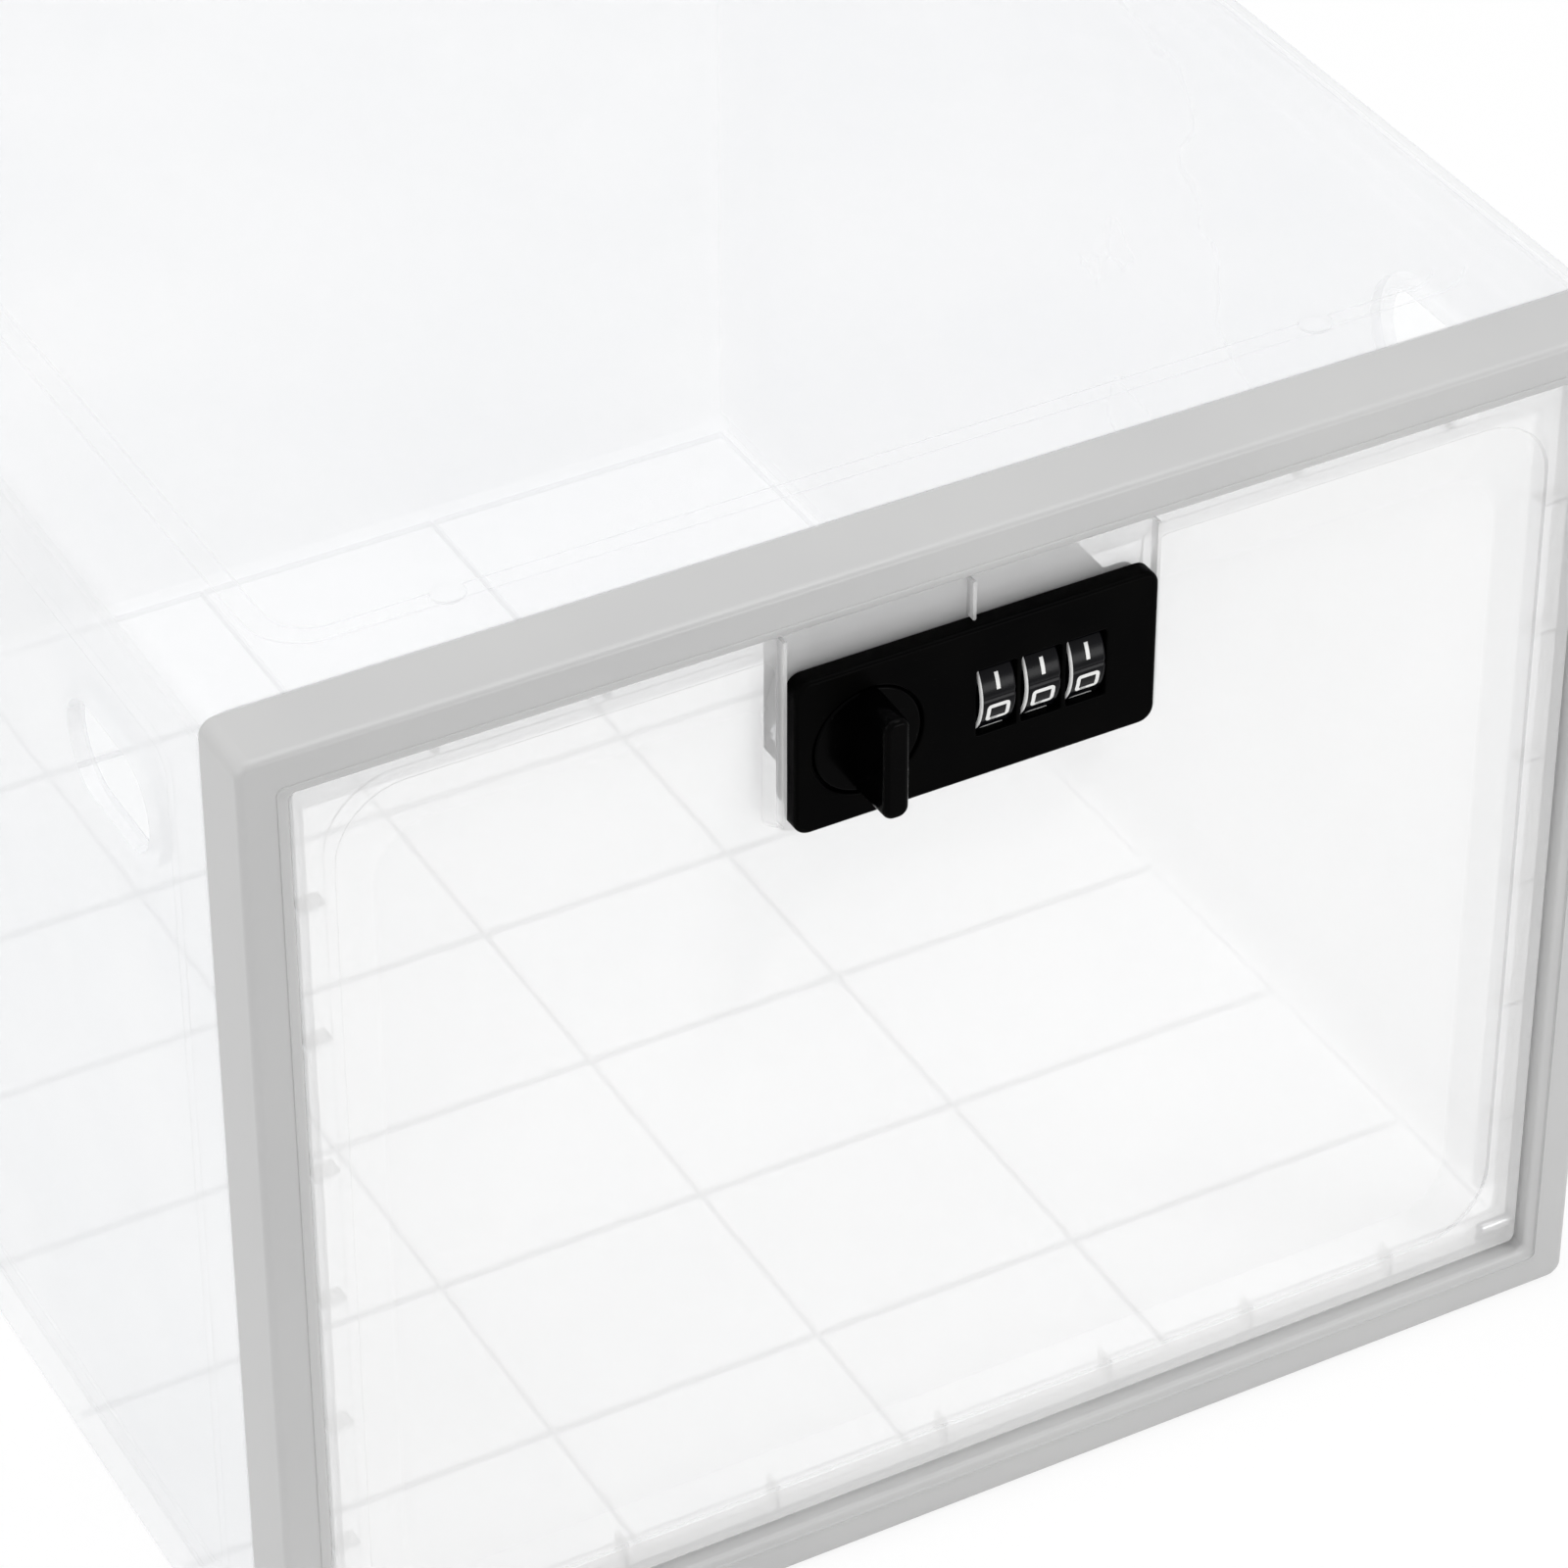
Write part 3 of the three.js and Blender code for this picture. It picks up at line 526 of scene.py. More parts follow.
    def _grain(self, nodes: Nodes, place: bpy.types.NodeSocket) -> bpy.types.NodeSocket:
        """Adds the fine surface structure as a bump.

        Args:
            nodes: Node tree of the material.
            place: Socket that gives the place on the piece.

        Returns:
            The socket with the bumped normal.
        """
        if self.grain is Grain.BRUSHED:
            stretch = nodes.add("ShaderNodeMapping", Scale=self.brush_stretch, Vector=place)
            place = stretch.outputs["Vector"]
        return nodes.add(
            "ShaderNodeBump", Strength=self.bump[self.grain], Distance=self.grain_depth * MM,
            Height=self._noise(nodes, place, self.grain_size, self.grain_detail),
        ).outputs["Normal"]


CLEAR_BODY = Finish(
    "clear_body", (0.825, 0.835, 0.85), (0.87, 0.875, 0.883), (0.15, 0.25),
    Grain.SMOOTH, grain_size=9.0, grain_depth=0.05, patch_size=70.0, alpha=0.25, ior=1.49,
    edge_alpha=0.65,
)
# The door's colour is darkened on slopes, ribs and edges as painted shade.
CLEAR_DOOR = Finish(
    "clear_door", (0.945, 0.943, 0.94), (0.965, 0.962, 0.96), (0.12, 0.24),
    Grain.SMOOTH, grain_size=12.0, grain_depth=0.05, patch_size=60.0, alpha=0.30, ior=1.49,
    edge_alpha=0.95, painted_side_shade=0.16,
)
GREY_FRAME = Finish(
    "grey_frame", (0.475, 0.475, 0.475), (0.50, 0.50, 0.497), (0.36, 0.46),
    grain_size=0.45, grain_depth=0.012, patch_size=40.0,
)
BLACK_LOCK = Finish(
    "black_lock", (0.0006, 0.0006, 0.0007), (0.0012, 0.0012, 0.0011), (0.29, 0.38),
    grain_size=0.4, grain_depth=0.01, patch_size=12.0, ior=1.46, specular=0.015,
)
BLACK_KNOB = Finish(
    "black_knob", (0.0004, 0.0004, 0.0005), (0.0009, 0.0009, 0.0009), (0.12, 0.20),
    grain_size=0.4, grain_depth=0.006, patch_size=9.0, ior=1.46, specular=0.025,
)
BLACK_DIAL = Finish(
    "black_dial", (0.002, 0.002, 0.003), (0.003, 0.003, 0.004), (0.18, 0.26),
    grain_size=0.3, grain_depth=0.008, patch_size=6.0, ior=1.48, specular=0.09,
)
# White for the printed numbers and for the painted highlight ring on each dial.
WHITE_INK_AND_HIGHLIGHT = Finish(
    "white_ink_and_highlight", (0.80, 0.80, 0.79), (0.74, 0.74, 0.73), (0.40, 0.55),
    grain_size=0.3, grain_depth=0.01, patch_size=3.0,
)
DARK_CASE = Finish(
    "dark_case", (0.045, 0.047, 0.05), (0.06, 0.06, 0.064), (0.50, 0.62),
    grain_size=0.5, grain_depth=0.03, patch_size=10.0,
)
ZINC = Finish(
    "zinc", (0.52, 0.53, 0.55), (0.60, 0.60, 0.61), (0.34, 0.48),
    grain_size=0.35, grain_depth=0.02, patch_size=5.0, metallic=1.0,
)
STEEL = Finish(
    "steel", (0.62, 0.63, 0.65), (0.70, 0.70, 0.70), (0.22, 0.36),
    Grain.BRUSHED, grain_size=0.25, grain_depth=0.012, patch_size=6.0, metallic=1.0,
)
WHITE_PLASTIC = Finish(
    "white_plastic", (0.80, 0.79, 0.75), (0.85, 0.84, 0.81), (0.42, 0.55),
    grain_size=0.5, grain_depth=0.02, patch_size=8.0,
)


def dress(item: bpy.types.Object, body: str, slot: str, *nodes: str) -> None:
    """Fixes a piece to its body and hides the CAD nodes that it replaces.

    Args:
        item: The piece.
        body: Name of the body that it rides on.
        slot: Not used.
        *nodes: CAD nodes that it replaces.
    """
    if nodes:
        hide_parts(*nodes)
    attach(item, body)


# ---------------------------------------------------------------- front frame


@dataclass
class FrontFrame:
    """Grey frame round the mouth, with a skirt behind that goes over the body's neck."""

    width: float = 280.0
    height: float = 227.0
    depth: float = 15.4
    bar: float = 9.5
    corner_radius: float = 3.2
    inner_radius: float = 1.5
    front_round: float = 1.4
    back_round: float = 0.6
    lip_width: float = 2.2
    lip_drop: float = 0.4
    bead_width: float = 0.45
    bead_proud: float = 0.22
    skirt_wall: float = 2.7
    skirt_radius: float = 3.0
    rebate_front: float = 9.0
    pin_radius: float = 1.5
    pin_middle: Point2 = (6.0, 14.5)
    pin_reach: float = 3.7

    def outline(self, inset: float, radius: float) -> Outline:
        """Gives the frame's outline, set in all round."""
        half = self.width / 2 - inset
        return rectangle((-half, half), (inset, self.height - inset), max(radius, 0.3))

    def _opening(self) -> Solid:
        """Gives the cutter of the opening, with the low lip round its front edge."""
        width, drop = self.lip_width, self.lip_drop
        return Solid.loft(lambda grown: self.outline(self.bar - grown, self.inner_radius), [
            (width, -PAST), (width, 0.0), (width - 0.1, 0.06), (width - 0.2, 0.3),
            (width - 0.35, drop), (0.9, drop + 0.2), (0.35, drop + 0.42), (0.1, drop + 0.75),
            (0.0, drop + 1.2), (0.0, self.depth + PAST),
        ])

    def _bead(self) -> Solid:
        """Gives the fine raised line round the lip."""
        inner = self.bar - self.lip_width
        outer = inner - self.bead_width
        bead = Solid.loft(lambda inset: self.outline(inset, self.inner_radius), [
            (outer, 0.5), (outer, -0.02), (outer + 0.08, -0.8 * self.bead_proud),
            (outer + 0.16, -self.bead_proud),
        ])
        return bead.minus(Solid.prism(self.outline(inner, self.inner_radius), (-PAST, PAST)))

    def build(self) -> None:
        """Builds and dresses the frame."""
        bars = Solid.loft(
            lambda inset: self.outline(inset, self.corner_radius - inset),
            edge_rounds((0.0, self.depth), self.front_round, self.back_round),
        )
        rebate = Solid.prism(
            self.outline(self.skirt_wall, self.skirt_radius), (self.rebate_front, self.depth + PAST)
        )
        half = self.width / 2 - self.bar
        inner, outer = half - PAST, half + self.pin_reach
        pins = [
            Solid.bar_x(self.pin_radius, span, self.pin_middle)
            for span in ((-outer, -inner), (inner, outer))
        ]
        bars = bars.minus(self._opening(), rebate, *pins).plus(self._bead())
        item = bars.piece("front_frame_moulding", GREY_FRAME)
        dress(item, "box", "grey_frame", "front_frame")


# ---------------------------------------------------------------- body


@dataclass
class BoxBody:
    """Clear tapered body with shallow panels, finger holes and a ribbed floor."""

    front: float = 15.7
    back: float = 350.0
    half_width: float = 140.0
    height: float = 227.0
    wall: float = 2.2
    side_draft: float = 2.1
    top_draft: float = 2.4
    top_radius: float = 6.0
    base_radius: float = 1.2
    back_round: float = 4.0
    flange: float = 2.5
    neck_front: float = 9.3
    neck_inset: float = 3.0
    neck_wall: float = 2.0
    stop_thickness: float = 2.0
    stop_half: float = 124.5
    stop_z: Span = (21.5, 206.9)
    strike_x: Span = (-30.0, -14.0)
    strike_back: float = 20.0
    strike_z: Span = (214.0, 222.4)
    underfloor: float = 1.8
    emboss_depth: float = 1.2
    emboss_slope: float = 5.4
    emboss_over: float = 1.5
    emboss_steps: tuple[Point2, ...] = (
        (0.0, 0.0), (0.02, 0.04), (0.07, 0.30), (0.14, 0.40), (0.25, 0.44), (0.75, 0.56),
        (0.86, 0.60), (0.93, 0.70), (0.98, 0.96), (1.0, 1.0),
    )
    top_emboss_inset: float = 18.0
    top_emboss_y: Span = (25.5, 330.0)
    top_emboss_radius: float = 11.0
    side_emboss_y: Span = (27.5, 331.0)
    side_emboss_z: Span = (13.5, 213.0)
    side_emboss_radius: float = 8.0
    hole_size: Point2 = (35.0, 19.5)
    hole_middle: Point2 = (60.5, 185.5)
    hole_rim: float = 3.0
    hole_rim_depth: float = 2.7
    hole_flare: float = 1.2
    gate_mark: Point2 = (87.0, 29.4)
    gate_radii: Span = (3.4, 2.9)
    rib_width: float = 0.7
    cross_ribs: tuple[float, ...] = (55.2, 104.0, 152.8, 201.6, 250.4, 299.2)
    long_ribs: tuple[float, ...] = (-59.0, 0.0, 59.0)

    def share(self, y: float) -> float:
        """Gives how far along the taper a place is."""
        return (y - self.front) / (self.back - self.front)

    def side(self, y: float) -> float:
        """Gives the half width of the body at a place."""
        return self.half_width - self.side_draft * self.share(y)

    def top(self, y: float) -> float:
        """Gives the height of the body at a place."""
        return self.height - self.top_draft * self.share(y)

    def _ring(self, inset: float, y: float, low: float, radii: Span) -> list[Point3]:
        """Gives one ring round the body; radii are those at the base and at the top."""
        half, high = self.side(y) - inset, self.top(y) - inset
        base, top = radii
        corners = [(-half, low, base), (half, low, base), (half, high, top), (-half, high, top)]
        return along_y(rounded_outline(corners, 8), y)

    def _shell(self) -> Solid:
        """Gives the shell with its neck, floor ribs and the rims inside the finger holes."""
        outer = Solid.from_rings([
            self._ring(inset, y, 0.0, (self.base_radius, self.top_radius))
            for inset, y in edge_rounds((self.front, self.back), 0.3, self.back_round)
        ])
        inner_radius = self.top_radius - self.wall
        floor = self.underfloor + self.wall
        cavity = Solid.from_rings([
            self._ring(self.wall + inset, y, floor, (inner_radius, inner_radius))
            for inset, y in edge_rounds(
                (self.front + self.flange, self.back - self.wall), 0.05, self.back_round - self.wall
            )
        ])
        recess = Solid.from_rings([
            self._ring(self.wall, y, -5.0, (self.wall, self.wall))
            for y in (self.front + self.wall, self.back - self.back_round)
        ])
        over_floor = Solid.block(ACROSS, (0, 360), (self.underfloor, 300))
        rim = FrontFrame()
        collar = Solid.prism(
            rim.outline(self.neck_inset, rim.skirt_radius), (self.neck_front, self.front + PAST)
        )
        stop_back = self.neck_front + self.stop_thickness
        mouth = Solid.prism(
            rim.outline(self.neck_inset + self.neck_wall, rim.skirt_radius),
            (stop_back, self.front + self.flange + PAST),
        )
        shell = outer.minus(cavity, recess.minus(over_floor))
        ribbed = shell.plus(collar, *self._ribs(), *self._hole_rims())
        strike = Solid.block(self.strike_x, (stop_back - OVERLAP, self.strike_back), self.strike_z)
        return ribbed.minus(mouth, self._doorway()).plus(strike)

    def _doorway(self) -> Solid:
        """Gives the cutter of the doorway, which leaves the stop for the door."""
        frame_bar = FrontFrame().bar
        half = self.half_width - frame_bar
        span = (self.neck_front - PAST, self.neck_front + self.stop_thickness + PAST)
        low, high = self.stop_z
        return Solid.prism([
            (-half, frame_bar), (half, frame_bar), (half, low), (self.stop_half, low),
            (self.stop_half, high), (-self.stop_half, high), (-self.stop_half, low), (-half, low),
        ], span)

    def _ribs(self) -> list[Solid]:
        """Gives the ribs under the floor."""
        half, end = self.rib_width / 2, self.wall / 2
        rise = (0.0, self.underfloor + OVERLAP)
        ribs = [
            Solid.block((end - self.side(y), self.side(y) - end), (y - half, y + half), rise)
            for y in self.cross_ribs
        ]
        span = (self.front + end, self.back - self.back_round)
        ribs += [Solid.block((x - half, x + half), span, rise) for x in self.long_ribs]
        return ribs

    def _hole_outline(self, growth: float) -> Outline:
        """Gives the outline of a finger hole in Y and Z, grown all round."""
        (length, height), (y, z) = self.hole_size, self.hole_middle
        across = (y - length / 2 - growth, y + length / 2 + growth)
        up = (z - height / 2 - growth, z + height / 2 + growth)
        return rectangle(across, up, height / 2 + growth - 0.01, 10)

    def _hole_solids(self, pairs: Sequence[Point2]) -> list[Solid]:
        """Skins the outline of the finger hole in both sides.

        Args:
            pairs: Pairs of growth and distance from the middle.

        Returns:
            The solid on the left and the one on the right.
        """
        return [
            Solid.from_rings([along_x(self._hole_outline(growth), side * x) for growth, x in pairs])
            for side in (-1, 1)
        ]

    def _hole_rims(self) -> list[Solid]:
        """Gives the raised rim round each finger hole, inside the wall."""
        wall = self.side(self.hole_middle[0]) - self.wall
        inner, rim = wall - self.hole_rim_depth, self.hole_rim
        return self._hole_solids([
            (rim, wall + 0.6), (rim, inner + 0.5), (rim - 0.15, inner + 0.15), (rim - 0.5, inner),
        ])

    def _hole_cutters(self) -> list[Solid]:
        """Gives the cutter of each finger hole, flared at the outside and the inside."""
        outside = self.side(self.hole_middle[0])
        inside = outside - self.wall - self.hole_rim_depth
        angles = [k * math.pi / 8 for k in range(5)]
        flare = [
            (self.hole_flare * (1 - math.sin(a)), self.hole_flare * (1 - math.cos(a)))
            for a in angles
        ]
        pairs = [(self.hole_flare, outside + 2)]
        pairs += [(grown, outside - depth) for grown, depth in flare]
        pairs += [(0.5 * grown, inside + 0.5 * depth) for grown, depth in reversed(flare)]
        pairs.append((0.5 * self.hole_flare, inside - 2))
        return self._hole_solids(pairs)

    def _sunk_panel(self, outline: Callable[[float], Outline]) -> list[tuple[float, Outline]]:
        """Lists height and outline pairs of a shallow panel with a soft step.

        Args:
            outline: Gives the panel's outline, set in by a distance.

        Returns:
            Pairs of height over the wall and outline.
        """
        slope = [
            (-self.emboss_depth * down, outline(self.emboss_slope * inward))
            for inward, down in self.emboss_steps
        ]
        return [(self.emboss_over, outline(0.0)), *slope]

    def _embosses(self) -> list[Solid]:
        """Gives the cutters of the shallow panels on the top and the sides."""
        x = self.half_width - self.top_emboss_inset
        y0, y1 = self.top_emboss_y

        def top_outline(inset: float) -> Outline:
            """Gives the outline of the top panel in X and Y."""
            radius = self.top_emboss_radius - 0.5 * inset
            return rectangle((inset - x, x - inset), (y0 + inset, y1 - inset), radius, 10)

        def side_outline(inset: float) -> Outline:
            """Gives the outline of a side panel in Y and Z."""
            (ya, yb), (za, zb) = self.side_emboss_y, self.side_emboss_z
            radius = self.side_emboss_radius - 0.5 * inset
            return rectangle((ya + inset, yb - inset), (za + inset, zb - inset), radius, 10)

        cutters = [Solid.from_rings([
            [(px, py, self.top(py) + rise) for px, py in outline]
            for rise, outline in self._sunk_panel(top_outline)
        ])]
        for side in (-1, 1):
            cutters.append(Solid.from_rings([
                [(side * (self.side(py) + rise), py, pz) for py, pz in outline]
                for rise, outline in self._sunk_panel(side_outline)
            ]))
        return cutters

    def _gate_marks(self) -> list[Solid]:
        """Gives the shallow round marks near the front corners of the top."""
        marks = []
        for x in (-self.gate_mark[0], self.gate_mark[0]):
            z = self.top(self.gate_mark[1]) - self.emboss_depth
            outline, inner = (
                circle(radius, 32, (x, self.gate_mark[1])) for radius in self.gate_radii
            )
            marks.append(Solid.from_rings([
                [(px, py, z + 3) for px, py in outline], [(px, py, z + 0.3) for px, py in outline],
                [(px, py, z - 0.3) for px, py in inner],
            ]))
        return marks

    def build(self) -> None:
        """Builds and dresses the body."""
        cutters = [*self._hole_cutters(), *self._embosses(), *self._gate_marks()]
        item = self._shell().minus(*cutters).piece("clear_body_moulding", CLEAR_BODY)
        dress(item, "box", "clear_body", "body_shell")


# ---------------------------------------------------------------- door


@dataclass
class Door:
    """Clear door: thin tray with a sunken panel round the lock, ribs and hinge barrels."""

    half_width: float = 129.8
    low: float = 10.2
    high: float = 216.8
    front: float = 3.0
    back: float = 9.0
    skin: float = 1.8
    rim_wall: float = 1.6
    corner_radius: float = 2.5
    edge_round: float = 0.5
    back_round: float = 0.3
    sink: float = 3.5
    panel_wall: float = 1.3
    panel_side: float = 122.0
    panel_low: float = 18.5
    panel_high: float = 211.5
    side_slope: float = 9.0
    low_slope: float = 7.5
    high_slope: float = 12.5
    panel_radii: Span = (14.0, 11.0)
    notch_x: float = 37.9
    notch_z: float = 173.85
    notch_slope: float = 1.0
    notch_radius: float = 3.0
    notch_margin: float = 2.0
    rib_width: float = 0.8
    rib_end: float = 0.9
    side_ribs: tuple[float, ...] = (42.0, 71.4, 100.8, 130.2, 159.6, 189.0)
    face_ribs: tuple[float, ...] = (0.0, 36.7, 69.0, 101.4)
    lock_z: float = 191.5
    cutout: Point2 = (31.4, 12.7)
    screw_x: float = 33.7
    screw_radius: float = 1.5
    pocket_wall: float = 0.7
    pocket_proud: float = 2.2
    pocket_x: float = 37.4
    end_low: float = -15.0
    top_low: float = 16.6
    barrel_radius: float = 2.8
    barrel_length: float = 8.3
    pin_middle: Point2 = (6.0, 14.5)
    pin_radius: float = 1.5
    pin_depth: float = 6.8
    lip_radius: float = 1.3
    slope_steps: tuple[Point2, ...] = (
        (0.0, 0.0), (0.012, 0.04), (0.03, 0.20), (0.90, 0.95), (0.95, 0.99), (1.0, 1.0),
    )

    def _edge(self, inset: float) -> Outline:
        """Gives the door's outline, set in all round."""
        half = self.half_width - inset
        radius = max(self.corner_radius - inset / 2, 0.4)
        return rectangle((-half, half), (self.low + inset, self.high - inset), radius, 8)

    def _panel(self, down: float, growth: float) -> Outline:
        """Gives the outline of the sunken panel.

        Args:
            down: Share of the slope, from 0 at its rim to 1 at its floor.
            growth: Distance that it is grown by.

        Returns:
            The outline, which goes round the lock.
        """
        x = self.panel_side - self.side_slope * down + growth
        low = self.panel_low + self.low_slope * down - growth
        high = self.panel_high - self.high_slope * down + growth
        radius = self.panel_radii[0] + (self.panel_radii[1] - self.panel_radii[0]) * down
        side = self.notch_x + self.notch_slope * down - growth
        base = self.notch_z - self.notch_slope * down + growth
        small = self.notch_radius
        return rounded_outline([
            (-x, low, radius), (x, low, radius), (x, high, radius), (side, high, small),
            (side, base, small), (-side, base, small), (-side, high, small), (-x, high, radius),
        ], 8)

    def _tray(self) -> Solid:
        """Gives the tray with its rim, sunken panel and bulge behind."""
        tray = Solid.loft(
            self._edge, edge_rounds((self.front, self.back), self.edge_round, self.back_round)
        )
        hollow = Solid.prism(self._edge(self.rim_wall), (self.front + self.skin, self.back + PAST))
        slope = [(down, self.front + self.sink * depth) for down, depth in self.slope_steps]
        behind = [(0.0, self.front + OVERLAP)]
        behind += [(down, y + self.skin) for down, y in slope[1:]]
        bulge = Solid.loft(lambda down: self._panel(down, self.panel_wall), behind)
        before = [(0.0, self.front - PAST), *slope]
        sunken = Solid.loft(lambda down: self._panel(down, 0.0), before)
        return tray.minus(hollow).plus(bulge, *self._ribs(), *self._barrels()).minus(sunken)

    def _ribs(self) -> list[Solid]:
        """Gives the short ribs between the rim and the panel, behind the skin."""
        half = self.rib_width / 2
        span = (self.front + self.skin - OVERLAP, self.back - 0.1)
        low = (self.low + OVERLAP, self.panel_low - self.rib_end)
        high = (self.panel_high + self.rib_end, self.high - OVERLAP)
        reach = self.panel_side + self.rib_end
        ribs = []
        for place in self.face_ribs:
            for x in ({place, -place} if place else {0.0}):
                ribs.append(Solid.block((x - half, x + half), span, low))
                if place > self.notch_x + self.notch_margin:
                    ribs.append(Solid.block((x - half, x + half), span, high))
        for z in self.side_ribs:
            rise = (z - half, z + half)
            ribs.append(Solid.block((OVERLAP - self.half_width, -reach), span, rise))
            ribs.append(Solid.block((reach, self.half_width - OVERLAP), span, rise))
        return ribs

    def _pocket_walls(self) -> list[Solid]:
        """Gives the thin walls that locate the lock's plate, at both ends and above it."""
        span = (self.front - self.pocket_proud, self.front + 0.5)
        half, high = self.pocket_wall / 2, self.high - 0.5
        end, end_low = self.pocket_x, self.end_low
        places = ((-end, end_low), (end, end_low), (0.0, self.top_low))
        return [
            Solid.prism(rectangle((x - half, x + half), (self.lock_z + low, high), 0.3, 3), span)
            for x, low in places
        ]

    def _pin_bars(self, radius: float, inner: float, outer: float) -> list[Solid]:
        """Gives round bars on the hinge's axis at both ends, between two distances."""
        return [
            Solid.bar_x(radius, span, self.pin_middle)
            for span in ((-outer, -inner), (inner, outer))
        ]

    def _barrels(self) -> list[Solid]:
        """Gives the round bosses for the hinge pins."""
        half = self.half_width
        return self._pin_bars(self.barrel_radius, half - self.barrel_length, half - 0.2)

    def _cutters(self) -> list[Solid]:
        """Gives the cutters for the lock, its screws, the hinge pins and the lower lip."""
        x, z = self.cutout
        through = (0.0, self.back + 3)
        lock = Solid.block((-x, x), through, (self.lock_z - z, self.lock_z + z))
        screws = [
            Solid.bar_y(self.screw_radius, through, (side * self.screw_x, self.lock_z))
            for side in (-1, 1)
        ]
        half = self.half_width
        pins = self._pin_bars(self.pin_radius, half - self.pin_depth, half + PAST)
        return [lock, *screws, *pins, self._lip()]

    def _lip(self) -> Solid:
        """Gives the cutter under the arc of the lower front edge."""
        arc = []
        for step in range(9):
            angle = math.pi + step * math.pi / 16
            arc.append((
                self.front + self.lip_radius * (1 + math.cos(angle)),
                self.low + self.lip_radius * (1 + math.sin(angle)),
            ))
        before, below = self.front - PAST, self.low - PAST
        outline = [(before, arc[0][1]), (before, below), (arc[-1][0], below), *reversed(arc)]
        return Solid.from_rings([along_x(outline, x) for x in ACROSS])

    def build(self) -> None:
        """Builds and dresses the door."""
        door = self._tray().plus(*self._pocket_walls()).minus(*self._cutters())
        dress(door.piece("clear_door_moulding", CLEAR_DOOR), "door", "clear_door", "door_panel")


# ---------------------------------------------------------------- lock


